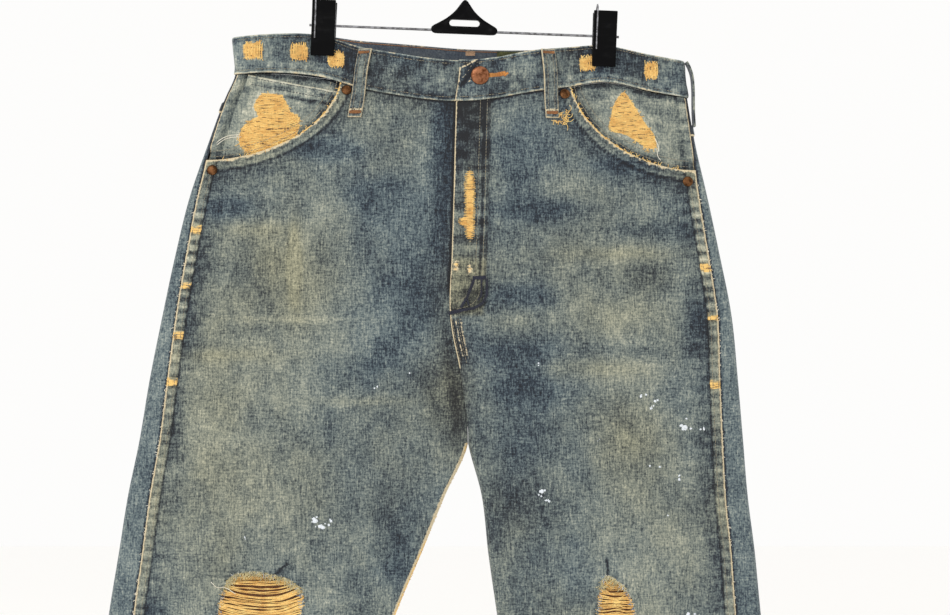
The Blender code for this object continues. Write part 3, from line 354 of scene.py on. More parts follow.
def above(face, leg, x, z, lift):
    """Points that stand off the inner surface."""
    lift = np.broadcast_to(lift, np.broadcast(x, z).shape)[..., None]
    return surface(face, leg, x, z) + outward(face, leg, x, z) * lift

# %% Heights that follow a seam
def band_foot(face, x):
    return waist_top(face, x) - waist("band", x)


def lifted(face, x, z):
    """A row's height at x: rows near the waist follow the foot of the waistband."""
    rise = band_foot(face, x) - SEAM_GAP - PANEL_TOP_Z
    return z + rise * (1 - step((PANEL_TOP_Z - z) / (PANEL_TOP_Z - LEVEL_Z)))


def yoke_foot(x):
    """Height of the yoke seam: highest at the sides and lowest at the centre back."""
    off = x - centre_x(RIGHT, YOKE_CENTRE_Z)
    return YOKE_CENTRE_Z - YOKE_TILT * off + YOKE_DROP * np.clip(np.abs(off) / SIDE_REACH, 0, 1)


def under_yoke(face, x, z):
    """A row's height at x on a back panel: its top row follows the yoke seam."""
    rise = yoke_foot(x) - SEAM_GAP - PANEL_TOP_Z
    return z + rise * (1 - step((PANEL_TOP_Z - z) / (PANEL_TOP_Z - BACK_LEVEL_Z)))

# %% [markdown]
# ## Shader maths
#
# A material is easier to read as an expression than as a picture of boxes and lines. `Num` wraps a
# socket, so that `1 - mask` or `grain * 0.3` adds the Math nodes. `Paint` holds one material and
# adds any other node with one method, which sets the node's options before its sockets.

# %% Numbers that vary over a surface
class Num:
    """An output of a node. Python's operators on it add Math nodes."""

    def __init__(self, paint, socket):
        self.paint = paint
        self.socket = socket

    def math(self, operation, first, second, clamp=False):
        return self.paint.node("Math", {"operation": operation, "use_clamp": clamp}, {0: first, 1: second})

    def __add__(self, other):
        return self.math("ADD", self, other)

    def __mul__(self, other):
        return self.math("MULTIPLY", self, other)

    def __sub__(self, other):
        return self.math("SUBTRACT", self, other)

    def __rsub__(self, other):
        return self.math("SUBTRACT", other, self)

    __radd__ = __add__
    __rmul__ = __mul__

    def top(self, other):
        return self.math("MAXIMUM", self, other)

    def clip(self):
        return self.math("ADD", self, 0, clamp=True)

    def rise(self, start, end):
        """A soft step from 0 at start to 1 at end."""
        settings = {"interpolation_type": "SMOOTHSTEP"}
        return self.paint.node("MapRange", settings, {0: self, 1: start, 2: end, 3: 0.0, 4: 1.0})

# %% A material's nodes
def rgb(red, green, blue):
    """A linear colour from its values on screen, 0 to 255."""
    shown = np.array([red, green, blue]) / 255
    return (*np.where(shown <= 0.04045, shown / 12.92, ((shown + 0.055) / 1.055) ** 2.4).tolist(), 1.0)


class Paint:
    """One material, built from nodes."""

    def __init__(self, name, roughness=0.8, metallic=0.0, sheen=0.0):
        self.material = bpy.data.materials.new(name)
        self.material.use_nodes = True
        self.tree = self.material.node_tree
        self.shader = self.tree.nodes["Principled BSDF"]
        self.shader.inputs["Roughness"].default_value = roughness
        self.shader.inputs["Metallic"].default_value = metallic
        self.shader.inputs["Sheen Weight"].default_value = sheen
        self.shader.inputs["Sheen Roughness"].default_value = 0.6

    def node(self, kind, settings=None, inputs=None, output=0):
        made = self.tree.nodes.new("ShaderNode" + kind)
        for key, value in (settings or {}).items():
            if key == "stops":
                self.stops(made.color_ramp, value)
            else:
                setattr(made, key, value)
        for key, value in (inputs or {}).items():
            self.feed(made.inputs[key], value)
        return Num(self, made.outputs[output])

    def stops(self, ramp, stops):
        while len(ramp.elements) < len(stops):
            ramp.elements.new(0.5)
        for element, (place, colour) in zip(ramp.elements, stops):
            element.position = place
            element.color = colour

    def feed(self, socket, value):
        if isinstance(value, Num):
            self.tree.links.new(value.socket, socket)
        else:
            socket.default_value = value

    def mask(self, name):
        """A number kept at the mesh's points."""
        return self.node("Attribute", {"attribute_name": name}, output="Fac")

    def noise(self, per_metre, stretch=(1, 1, 1), detail=2.0, roughness=0.5):
        """Chance values around 0.5 that are fixed to the object."""
        place = self.node("TexCoord", output="Object")
        scaled = self.node("Mapping", None, {"Vector": place, "Scale": stretch})
        inputs = {"Vector": scaled, "Scale": per_metre, "Detail": detail, "Roughness": roughness}
        return self.node("TexNoise", None, inputs)

    def mix(self, factor, a, b, blend="MIX"):
        """Colour a turned into colour b by a factor."""
        settings = {"data_type": "RGBA", "blend_type": blend, "clamp_factor": True}
        return self.node("Mix", settings, {0: factor, 6: a, 7: b}, 2)

    def bump(self, height, distance):
        """Raises the surface by a height, for light only."""
        made = self.node("Bump", None, {"Height": height, "Distance": distance, "Strength": 1.0})
        self.feed(self.shader.inputs["Normal"], made)

    def set(self, name, value):
        self.feed(self.shader.inputs[name], value)

# %% [markdown]
# ## Denim
#
# Denim is a twill: blue warp threads run down the leg over undyed weft threads, and each step of the
# weave moves one thread over, which gives the fine slanting ribs. Wash and wear take the blue off
# what stands proud. The points carry masks for that: `tone` from dark to pale, `olive` for the brown
# cast of dirt and tint, `edge` for worn folds, `bare` for places worn down to the weft, and `inside`.
# Besides wear, `tone` carries painted shade: dark lines beside raised seams and hems, under the
# waistband and other edges, along the creases and in the folds' troughs.

# %% Denim paint
WEFT_LIGHT, WEFT_DEEP = rgb(250, 214, 134), rgb(212, 160, 80)


def denim():
    """Blue warp over undyed weft, with the wear and the painted shade that the points' masks ask for."""
    paint = Paint("worn denim", roughness=0.92, sheen=0.12)
    warp = paint.noise(900, (1.0, 1.0, 0.11), 2)
    weft = paint.noise(800, (0.16, 0.5, 1.0), 2)
    grain = paint.noise(620, (1, 1, 0.8), 3, 0.7)
    blotch = paint.noise(38, (1, 1, 0.7), 3, 0.6)
    tone = paint.mask("tone")
    thready = (warp - 0.5) * 0.7 + (weft - 0.5) * 0.5 + (grain - 0.5) * 1.15
    shade = tone + thready + (blotch - 0.5) * 0.34
    blue = paint.node("ValToRGB", {"stops": [
        (0.0, rgb(10, 15, 24)), (0.2, rgb(33, 46, 59)), (0.42, rgb(84, 98, 103)),
        (0.62, rgb(121, 132, 130)), (0.85, rgb(162, 167, 157)), (1.0, rgb(200, 199, 184)),
    ]}, {0: shade})
    dusty = paint.node("ValToRGB", {"stops": [
        (0.0, rgb(24, 25, 24)), (0.2, rgb(58, 60, 54)), (0.42, rgb(108, 109, 92)),
        (0.62, rgb(143, 142, 118)), (0.85, rgb(175, 171, 142)), (1.0, rgb(202, 197, 170)),
    ]}, {0: shade})
    cast = (paint.mask("olive") + (blotch - 0.5) * 0.5).clip()
    colour = paint.mix(cast, blue, dusty)
    pale = paint.mask("inside")
    colour = paint.mix(pale * 0.85, colour, paint.mix(grain, rgb(30, 38, 54), rgb(96, 104, 114)))
    worn = (paint.mask("edge") + (grain - 0.5) * 1.1 + (weft - 0.5) * 0.5).rise(0.42, 0.72)
    colour = paint.mix(worn, colour, paint.mix(grain, rgb(166, 146, 108), rgb(236, 222, 188)))
    bare = (paint.mask("bare") + (weft - 0.5) * 0.9).rise(0.4, 0.62)
    gaps = (weft + (warp - 0.5) * 0.35).rise(0.36, 0.47)
    gold = paint.mix(gaps, rgb(112, 84, 56), paint.mix(weft, WEFT_DEEP, WEFT_LIGHT))
    paint.set("Base Color", paint.mix(bare, colour, gold))
    rib = paint.node("TexWave", {"bands_direction": "DIAGONAL"}, {
        "Vector": paint.node("TexCoord", output="Object"), "Scale": 190.0, "Distortion": 1.5, "Detail": 1.0,
        "Detail Scale": 3.0})
    paint.bump(rib * 0.3 + grain * 0.7 + warp * 0.7 + weft * 0.4, 0.00035)
    return paint.material


DENIM = denim()
print("nodes in the denim:", len(DENIM.node_tree.nodes))

# %% [markdown]
# ## Cloth shells
#
# Each cut piece is a grid of points with an inner and an outer layer and a rim. The layers are moved
# out along the grid's normals, so a wall keeps its thickness over every fold. Masks are numbers for
# each point of the grid, and the paint reads them by name.

# %% A shell from a grid
MASKS = ("tone", "olive", "edge", "bare")


def normals_of(points, facing):
    """Unit normals of a grid of points, turned to the side that faces out, and that turn."""
    normal = unit(np.cross(np.gradient(points, axis=1), np.gradient(points, axis=0)))
    turn = 1 if (normal * facing).sum() > 0 else -1
    return normal * turn, turn


def turns_of(count, start=0.0):
    """Even turns round a circle."""
    return np.linspace(start, start + 2 * math.pi, count, endpoint=False)


def ring_faces(rows, count, start=0):
    """Faces between the rings of a tube, which have the same number of points."""
    at = np.arange(rows * count).reshape(rows, count) + start
    after = np.roll(at, -1, axis=1)
    return np.stack([at[:-1], at[1:], after[1:], after[:-1]], axis=-1).reshape(-1, 4)


def finished(name, vertices, faces, material, sharp=55, values=None, replaces=()):
    """A mesh object that rides with the garment, with its finish, its masks and the nodes it replaces."""
    used, faces_again = np.unique(faces, return_inverse=True)
    mesh = bpy.data.meshes.new(name)
    mesh.from_pydata((vertices[used] * MM).tolist(), [], faces_again.reshape(faces.shape).tolist())
    for key, numbers in (values or {}).items():
        layer = mesh.attributes.new(key, "FLOAT", "POINT")
        layer.data.foreach_set("value", np.ascontiguousarray(numbers[used], dtype=np.float32))
    mesh.materials.append(material)
    mesh.shade_smooth()
    mesh.set_sharp_from_angle(angle=math.radians(sharp))
    obj = bpy.data.objects.new(name, mesh)
    bpy.context.scene.collection.objects.link(obj)
    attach(obj, "root")
    for node in replaces:
        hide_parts(node)
    return obj


def area_of(obj):
    areas = np.empty(len(obj.data.polygons))
    obj.data.polygons.foreach_get("area", areas)
    return float(areas.sum())


def shell(node, points, inner, outer, facing, masks, keep=None, level_rows=(), edges=None, also=()):
    """A cloth wall between two offsets of a grid, closed round its rim and its holes."""
    rows, columns = points.shape[:2]
    direction, turn = normals_of(points, facing)
    for row in level_rows:
        direction[row, :, 2] = 0
        direction[row] = unit(direction[row])
    for column, given in (edges or {}).items():
        direction[:, column] = given
    layers = [points + direction * np.broadcast_to(o, (rows, columns))[..., None] for o in (inner, outer)]
    vertices = np.concatenate([layer.reshape(-1, 3) for layer in layers])
    index = np.arange(rows * columns).reshape(rows, columns)
    keep = np.ones((rows - 1, columns - 1), bool) if keep is None else keep
    corners = [index[:-1, :-1], index[:-1, 1:], index[1:, 1:], index[1:, :-1]]
    beyond = np.pad(keep, 1)
    missing = [~beyond[:-2, 1:-1], ~beyond[1:-1, 2:], ~beyond[2:, 1:-1], ~beyond[1:-1, :-2]]
    front = np.stack(corners, axis=-1)[keep] + rows * columns
    faces = [front, np.stack(corners[::-1], axis=-1)[keep]]
    for k in range(4):
        here = keep & missing[k]
        a, b = corners[k][here], corners[(k + 1) % 4][here]
        faces.append(np.stack([b + rows * columns, a + rows * columns, a, b], axis=-1))
    faces = np.concatenate(faces)
    faces = faces if turn > 0 else faces[:, ::-1]
    values = {}
    for key in MASKS:
        flat = np.broadcast_to(masks.get(key, 0.0), (rows, columns)).ravel()
        values[key] = np.concatenate([flat, flat])
    values["inside"] = np.repeat([1.0, 0.0], rows * columns)
    return finished(node + "_cloth", vertices, faces, DENIM, 55, values, (node, *also))


def hung(obj, cut):
    """Prints a hung sheet's cut, its width and length in millimetres, and its own flat area."""
    half = area_of(obj) / 2
    print(f"{obj.name}: cut {cut[0]:.0f} x {cut[1]:.0f} mm, cloth {half:.4f} m2")

# %% [markdown]
# ## Holes in a grid
#
# The scoops and the rips are cut through a fine grid. Points near an outline slide onto it, and the
# cells inside it go, which leaves a smooth edge without a Boolean.

# %% Outlines and distances
def line_of(x, z):
    return np.stack(np.broadcast_arrays(x, z), axis=1)


def closed_curve(points, count):
    """A smooth closed outline through a few points."""
    points = np.asarray(points, float)
    ring = np.concatenate([points[-2:], points, points[:3]])
    at = np.arange(-2, len(points) + 3)
    t = np.linspace(0, len(points), count, endpoint=False)
    return np.stack([smooth_curve(at, column, t) for column in ring.T], axis=1)


def open_curve(points, count):
    """A smooth line through a few points."""
    points = np.asarray(points, float)
    t = np.linspace(0, len(points) - 1, count)
    return np.stack([smooth_curve(np.arange(len(points)), column, t) for column in points.T], axis=1)


def nearest(x, z, line, closed=True):
    """Distance from each point to a line, and the nearest place on it."""
    start = line if closed else line[:-1]
    run = (np.roll(line, -1, axis=0) if closed else line[1:]) - start
    place = np.stack([x, z], axis=-1)[..., None, :]
    t = np.clip(((place - start) * run).sum(-1) / np.maximum((run**2).sum(-1), 1e-12), 0, 1)
    on = start + run * t[..., None]
    far = np.linalg.norm(place - on, axis=-1)
    best = far.argmin(-1)
    return far.min(-1), np.take_along_axis(on, best[..., None, None], axis=-2)[..., 0, :]


def within(x, z, outline):
    inside = np.zeros(np.shape(x), bool)
    for (xa, za), (xb, zb) in zip(outline, np.roll(outline, -1, axis=0)):
        crosses = (za > z) != (zb > z)
        inside ^= crosses & (x < (xb - xa) * (z - za) / (zb - za if zb != za else 1) + xa)
    return inside


def cut_hole(x, z, outline, reach=1.6):
    """Slides points near an outline onto it. Returns x, z, the cells to keep and each point's distance."""
    far, place = nearest(x, z, outline)
    close = far < reach
    x, z = np.where(close, place[..., 0], x), np.where(close, place[..., 1], z)
    inside = within(x, z, outline) & ~close
    keep = ~(inside[:-1, :-1] | inside[:-1, 1:] | inside[1:, 1:] | inside[1:, :-1])
    middle = [(v[:-1, :-1] + v[:-1, 1:] + v[1:, 1:] + v[1:, :-1]) / 4 for v in (x, z)]
    return x, z, keep & ~within(*middle, outline), np.where(close, 0, far)

# %% Rips and pockets
# A worn hole: its outline in order, where its weft threads begin and end, and their sag.
Rip = namedtuple("Rip", "outline top bottom sag")
RIPS = {
    RIGHT: Rip(
        ((-219, -597), (-198, -592), (-176, -596), (-157, -606), (-153, -624), (-159, -646),
         (-172, -668), (-196, -680), (-218, -672), (-229, -648), (-229, -620)),
        -594, -672, 7.0,
    ),
    LEFT: Rip(
        ((126, -597), (137, -600), (149, -614), (155, -634), (159, -660), (152, -682),
         (138, -690), (127, -676), (123, -650), (120, -620)),
        -599, -684, 3.5,
    ),
}

# A pocket's scoop: its corner under the waistband, its foot at the outseam, its roundness.
Pocket = namedtuple("Pocket", "corner_x corner_z foot_x foot_z roundness")
POCKETS = {
    RIGHT: Pocket(-118.5, -136, -241, -211.5, 1.85),
    LEFT: Pocket(94.5, -136, 208, -221, 1.8),
}
FACING_HEM, FACING_DEPTH, COIN_DEPTH = 12.0, {RIGHT: -4.2, LEFT: -2.8}, -2.1
COIN_TOP = ((-209, -131), (-121, -147.5))


def scoop_z(side, x, grown=0.0):
    """Height of a pocket's curved edge at x, with the curve grown by some millimetres."""
    pocket = POCKETS[side]
    across = abs(pocket.corner_x - pocket.foot_x) + grown
    drop = pocket.corner_z - pocket.foot_z + grown
    t = np.clip(side * (pocket.foot_x - np.asarray(x, float)) / across, 0, 1)
    return pocket.corner_z - drop * (1 - t**pocket.roundness) ** (1 / pocket.roundness)


def scoop_line(side, count=60, grown=0.0):
    """The scoop's edge from its foot at the outseam to its corner."""
    pocket = POCKETS[side]
    turns = np.linspace(0, math.pi / 2, count)
    power = 2 / pocket.roundness
    across = pocket.corner_x - pocket.foot_x - side * grown
    drop = pocket.foot_z - pocket.corner_z - grown
    return np.stack([pocket.foot_x + across * np.sin(turns) ** power,
                     pocket.corner_z + drop * np.cos(turns) ** power], axis=1)


def scoop_outline(side):
    """The part of the front that a pocket's scoop takes away."""
    pocket = POCKETS[side]
    line = scoop_line(side)
    beyond, top = pocket.foot_x + side * 60, pocket.corner_z + 40
    return np.concatenate([[(beyond, pocket.foot_z)], line, [(line[-1, 0], top), (beyond, top)]])

# %% [markdown]
# ## Fades, dirt, tint and painted shade
#
# The colour of worn jeans is mostly where it is: pale on the thighs, dark beside seams and at the
# crotch, brown where hands and seats rub. The dark beside the raised seams is partly painted shade,
# and a few dark patches are painted shadow: the fold beside the fly and the folds at the crotch.
# Each row below is one soft patch. The back has its own rows, made up to suit, because the
# photograph doesn't show it.

# %% Soft patches of colour
# A patch's row: x and z of its middle, its half width and height, and what it adds to tone and olive.
PATCHES = {
    FRONT: (
        (-185, -335, 62, 85, 0.0, 0.42), (130, -380, 120, 260, -0.05, 0.0),
        (-160, -308, 6, 36, 0.13, 0.75), (-150, -325, 26, 50, 0.06, 0.2),
        (-222, -256, 30, 9, -0.2, -0.3), (-165, -226, 56, 10, -0.06, 0.0),
        (-132, -203, 38, 10, -0.2, -0.4), (-190, -222, 30, 5, -0.06, -0.1),
        (-200, -276, 38, 8, 0.11, 0.35), (-182, -300, 20, 26, -0.05, 0.2),
        (-216, -316, 22, 16, -0.1, -0.2), (-60, -310, 36, 62, -0.17, -0.4),
        (-85, -246, 32, 18, -0.14, -0.3), (-120, -262, 14, 44, 0.03, 0.1),
        (-85, -402, 34, 17, -0.13, -0.2), (-228, -505, 64, 80, 0.05, 0.45),
        (-150, -520, 34, 60, 0.0, 0.3), (-72, -545, 42, 88, -0.09, 0.05), (-175, -359, 88, 3, 0.1, 0.1),
        (-95, -434, 46, 5, 0.11, 0.25), (-230, -392, 60, 7, 0.06, 0.3),
        # The row at (-24, -210) is painted shadow of the fold beside the fly, and the row at (-20, -400) is
        # painted shadow in the crotch fold, with a brown cast.
        (-24, -210, 12, 84, -0.22, -0.4), (-20, -400, 16, 70, -0.12, 0.35),
        (62, -258, 40, 11, -0.17, -0.3), (48, -200, 26, 34, -0.13, -0.4),
        (165, -276, 50, 8, -0.16, -0.1), (125, -244, 52, 9, 0.05, 0.1), (100, -214, 30, 14, -0.02, 0.0),
        (150, -216, 40, 7, -0.15, -0.3), (145, -298, 62, 8, 0.12, 0.4),
        (172, -320, 30, 16, -0.06, 0.15), (48, -337, 32, 13, -0.2, -0.45), (40, -362, 26, 6, 0.09, 0.1),
        (42, -390, 50, 18, -0.16, -0.35), (140, -358, 46, 22, 0.12, 0.4), (178, -388, 40, 5, -0.12, 0),
        (125, -404, 50, 11, 0.09, 0.45), (60, -424, 40, 12, -0.1, -0.3),
        (145, -458, 44, 44, 0.06, 0.38), (52, -530, 44, 115, -0.15, -0.05),
        # The row at (-9, -442) is painted shadow in the crotch fold, with a brown cast.
        (-9, -442, 8, 42, -0.22, 0.35), (168, -548, 54, 84, 0.08, 0.2),
        (214, -362, 14, 26, -0.18, -0.3), (-262, -350, 14, 40, -0.12, -0.2),
        (-245, -790, 64, 90, 0.12, 0.35), (178, -800, 64, 90, 0.12, 0.3),
        (-270, -1040, 60, 140, 0.03, 0.2), (195, -1040, 60, 140, 0.03, 0.15),
    ),
    BACK: (
        (-140, -300, 62, 60, 0.12, 0.2), (112, -302, 62, 60, 0.12, 0.2), (-155, -440, 70, 22, 0.1, 0.3),
        (125, -440, 70, 22, 0.1, 0.3), (-165, -508, 90, 10, -0.16, 0), (140, -512, 90, 10, -0.16, 0),
        (-240, -772, 70, 7, 0.12, 0.2), (-250, -800, 70, 8, -0.12, 0), (-246, -836, 66, 7, 0.12, 0.2),
        (176, -768, 70, 7, 0.12, 0.2), (180, -802, 70, 8, -0.12, 0), (184, -838, 66, 7, 0.12, 0.2),
        (-268, -1180, 80, 90, 0.08, 0.4), (200, -1180, 80, 90, 0.08, 0.4),
    ),
}


def worn(face, x, z):
    """Tone and olive cast over a face, from the patches, some of them painted shadow, from chance, and from
    the folds' heights: darker troughs and paler crests.
    """
    x, z = np.broadcast_arrays(np.asarray(x, float), np.asarray(z, float))
    tone = 0.485 + 0.07 * lumps(x, z, 30, 31 + face) + 0.05 * lumps(x, z / 1.6, 9, 34 + face)
    olive = 0.26 + 0.2 * lumps(x, z, 55, 37 + face)
    for mid_x, mid_z, half_width, half_height, paler, browner in PATCHES[face]:
        there = np.exp(-(((x - mid_x) / half_width) ** 2) - ((z - mid_z) / half_height) ** 2)
        tone += paler * there
        olive += browner * there
    # The folds' troughs get darker and their crests paler: partly wear, partly painted shade and painted
    # light.
    tone = tone - 0.02 * folded(FOLDS, face, x, z) - 0.055 * folded(FINE_FOLDS, face, x, z)
    return tone, olive


def beside(distance, start, fade):
    """1 next to an edge and 0 from some millimetres away."""
    return 1 - step((distance - start) / fade)


def roping(along, seed):
    """The light and dark ropes that a felled seam wears into."""
    still = 0 * along
    return np.sin(along / 1.62 + 2.2 * lumps(along, still, 23, seed)) + 0.6 * lumps(along, still, 7, seed + 1)


def hem_tone(x, z, seed):
    """What a turned hem adds to the tone: a ropy band of wear under a dark line, which is painted shade at
    the hem's raised edge.
    """
    hem = HEM_Z + HEM_HEIGHT
    return 0.12 * roping(x, seed) * beside(z, hem, 2) - 0.14 * ridge(z - hem - 2, 2.2)

# %% [markdown]
# ## The fronts
#
# A front's columns run from the felled outseam to the fly, closer together wherever something
# narrow lies: the seam band, the fly's topstitching and the crotch seam. On the wearer's left the
# fly lies over the other front. Rows are 2.4 mm apart where the photograph shows the cloth, and wider
# down the shins.

# %% The fronts' grid
def fly_width(z):
    """Width of the stitched fly: it narrows to the felled crotch seam at its foot."""
    return FELL_WIDTH + (FLY_WIDTH - FELL_WIDTH) * step((z - FLY_BOTTOM_Z - 4) / 34)


def underlap(side, z):
    """How far the wearer's right front runs on under the fly."""
    return 0 * z if side == LEFT else (FLY_WIDTH - 3) * step((z - FLY_BOTTOM_Z - 8) / 30)


def edge_turn(z):
    """How far a centre edge's wall has turned from straight out to sideways, at the inseam."""
    return step((CROTCH_Z + 25 - z) / 25) * math.pi / 2


def edge_direction(side, face, z):
    turn = edge_turn(z)
    return np.stack([-side * np.sin(turn), face * np.cos(turn), 0 * turn], axis=-1)


def edge_x(side, z):
    """x of a panel's inner edge on the inner surface, half a seam gap short of its neighbour."""
    seam = centre_x(side, z)
    clear = np.where(z > CROTCH_Z, SEAM_GAP / 2, np.maximum(0, SEAM_GAP / 2 - np.abs(seam)))
    return seam + side * (clear + CLOTH * np.sin(edge_turn(z)))


def spread(start, end, spacing):
    """Even places from start to end, about a spacing apart, without the end."""
    return np.linspace(start, end, max(2, round(abs(end - start) / spacing) + 1))[:-1]


def panel_rows(top, above_rips, below_rips):
    """Heights of a leg panel's rows, at two spacings."""
    hem = HEM_Z + HEM_HEIGHT
    leg = [*spread(top, -640, above_rips), *spread(-640, hem + 4, below_rips)]
    return np.array([*leg, hem + 4, hem + 1.2, hem, hem - 1.2, hem - 5, HEM_Z + 2.5, HEM_Z + 0.8, HEM_Z])


FRONT_NEAR = (0, 0.35, 1.0, 2.2, 3.7, 5.2, 6.7, 8.1, 8.9, 9.5, 10.1, 11.4)
FRONT_PLAIN = np.linspace(0, 1, 82)[1:]
FRONT_OWN = (0.6, 0.0, -0.6)
FLY_SHARES = (0.93, 0.86, 0.78, 0.7, 0.62, 0.54, 0.46, 0.38, 0.3, 0.22, 0.15)
FLY_EDGE = (3.4, 2.3, 1.4, 0.7, 0.3, 0.0)


def front_grid(side):
    """x, z and the distances from the outseam and the inner edge, for every point of a front."""
    columns = [(off, 0, 0) for off in FRONT_NEAR] + [(FELL_END, share, 0) for share in FRONT_PLAIN]
    columns += [(FELL_END - off, 1, 0) for off in FRONT_OWN]
    columns += [(FELL_END, 1, 1 - share) for share in FLY_SHARES]
    columns += [(FELL_END - off, 1, 1) for off in FLY_EDGE]
    base, plain_share, own_share = np.array(columns, float).T
    rows = panel_rows(PANEL_TOP_Z, 2.4, 5.2)[:, None]
    z = rows + 0 * base
    for _ in range(4):
        seam = seam_x(side, z, SEAM_GAP / 2)
        reach = side * (seam - edge_x(side, z)) + underlap(side, z)
        own = fly_width(z)
        plain = reach - FELL_END - own
        from_seam = base + plain_share * plain + own_share * own
        x = seam - side * from_seam
        z = lifted(FRONT, x, rows)
    return x, z, from_seam, reach - from_seam

# Creases over the rips, along which dark lines of shade are painted, and the outseam's worn spots: how high
# they lie and how bare they are.
CREASE_SHADE_LINES = {RIGHT: ((-184, -601), (-176, -592), (-166, -583)), LEFT: ((128, -580), (128.5, -588), (129, -599))}
OCHRE_SPOTS = {
    RIGHT: ((-276, 0.85), (-328, 0.6), (-374, 0.8), (-417, 0.85)),
    LEFT: ((-311, 0.85), (-358, 0.8), (-420, 0.85)),
}
WORN_INSEAM = {RIGHT: 1.0, LEFT: 0.28}


def front_masks(side, x, z, from_seam, from_edge, scoop, rip):
    """Where a front is dark, pale, brown, worn to its edge or bare."""
    tone, olive = worn(FRONT, x, z)
    below_scoop = step((-205 - z) / 8)
    band = beside(from_seam, FELL_WIDTH, 0.9) * below_scoop
    ladder = 0.15 + 0.2 * ridge(z + 305, 55)
    tone += band * (0.06 + ladder * roping(z, 41) * step((-225 - z) / 20))
    # Painted shadow: a dark line at the foot of the raised seam band. Beyond it a wider dark strip, partly
    # darker dye and partly painted shade.
    tone = tone - 0.34 * ridge(from_seam - 10.3, 1.0) * below_scoop
    tone = tone - 0.13 * ridge(from_seam - 16, 9) * (1 + 0.5 * roping(z, 43)) * step((-205 - z) / 20)
    olive += band * 0.3
    edge = 0.95 * beside(from_seam, 0.7, 1.2) * step((-205 - z) / 12)
    ochre = np.maximum.reduce([bareness * ridge(z - at, 5) for at, bareness in OCHRE_SPOTS[side]])
    bare = ochre * band * (0.92 + 0.22 * lumps(x, z, 3, 49))
    olive += 0.7 * ochre * band
    # Painted shade: a dark line past the foot of the scoop's raised hem and a fainter one beside its first
    # stitch row, then a wide dark strip below the hem, partly darker dye.
    hem_shade_lines = ridge(scoop - 10.2, 1.2) + 0.6 * ridge(scoop - 4.2, 0.8)
    olive += 0.22 * beside(scoop, 9.0, 1.2)
    tone += 0.05 * beside(scoop, 9.0, 1.2) + 0.13 * ridge(scoop - 7.9, 0.9)
    tone = tone - 0.42 * hem_shade_lines - 0.13 * ridge(scoop - 16, 7)
    edge = np.maximum(edge, beside(scoop, 1.5, 1.8) * (0.9 + 0.25 * lumps(x, z, 8, 44)))
    bare = np.maximum(bare, 0.75 * beside(scoop, 0.8, 1.6) * step(0.4 + lumps(x, z, 16, 45)))
    # Painted shadow under the waistband's raised edge, deepest at the edge and fading out over about 15 mm.
    top = band_foot(FRONT, x) - z
    tone = tone - 0.5 * beside(top, 0.9, 1.8) - 0.14 * beside(top, 3, 12)
    tone -= 0.1 * beside(rip, 2, 12) * lumps(x, z, 5, 46)
    # Painted shade: dark lines along the creases over the rips.
    crease = nearest(x, z, np.array(CREASE_SHADE_LINES[side], float), False)[0]
    tone -= 0.45 * ridge(crease, 1.2)
    edge = np.maximum(edge, 0.45 * beside(rip, 0.5, 2.2))
    tone = np.where(rip < 6, tone - 0.12 * beside(rip, 1, 5), tone)
    tone += hem_tone(x, z, 47)
    edge = np.maximum(edge, beside(z - HEM_Z, 0.8, 2.2))
    if side == LEFT:
        tone, olive, edge, bare = fly_masks(x, z, from_edge, tone, olive, edge, bare)
    else:
        # On the wearer's right front, painted shadow beside the fly's edge: a dark line at the edge and a
        # wider band of shade in the fold there.
        at_fly = from_edge - underlap(side, z)
        tone = tone - step((z + 345) / 20) * (0.17 * beside(at_fly, 5, 9) + 0.5 * beside(at_fly, 1.2, 1.6))
    inseam = step((CROTCH_Z + 4 - z) / 6)
    worn_inseam = WORN_INSEAM[side] * inseam
    edge = np.maximum(edge, worn_inseam * beside(from_edge, 1.6, 2.4))
    frayed_through = beside(from_edge, 0.8, 1.6) * step(0.7 + lumps(z, 0 * z, 30, 48))
    bare = np.maximum(bare, 0.7 * worn_inseam * frayed_through)
    return {"tone": tone, "olive": olive, "edge": edge, "bare": bare}

# %% The fly's marks
# The threadbare places: x, z, half width and half height. The pale ones: x, z and half width.
FLY_BARE = ((1.7, -254, 3.7, 34), (-2.6, -269, 4.6, 4))
FLY_FADES = ((-10.7, -309, 3.9), (1.4, -311, 3.3))


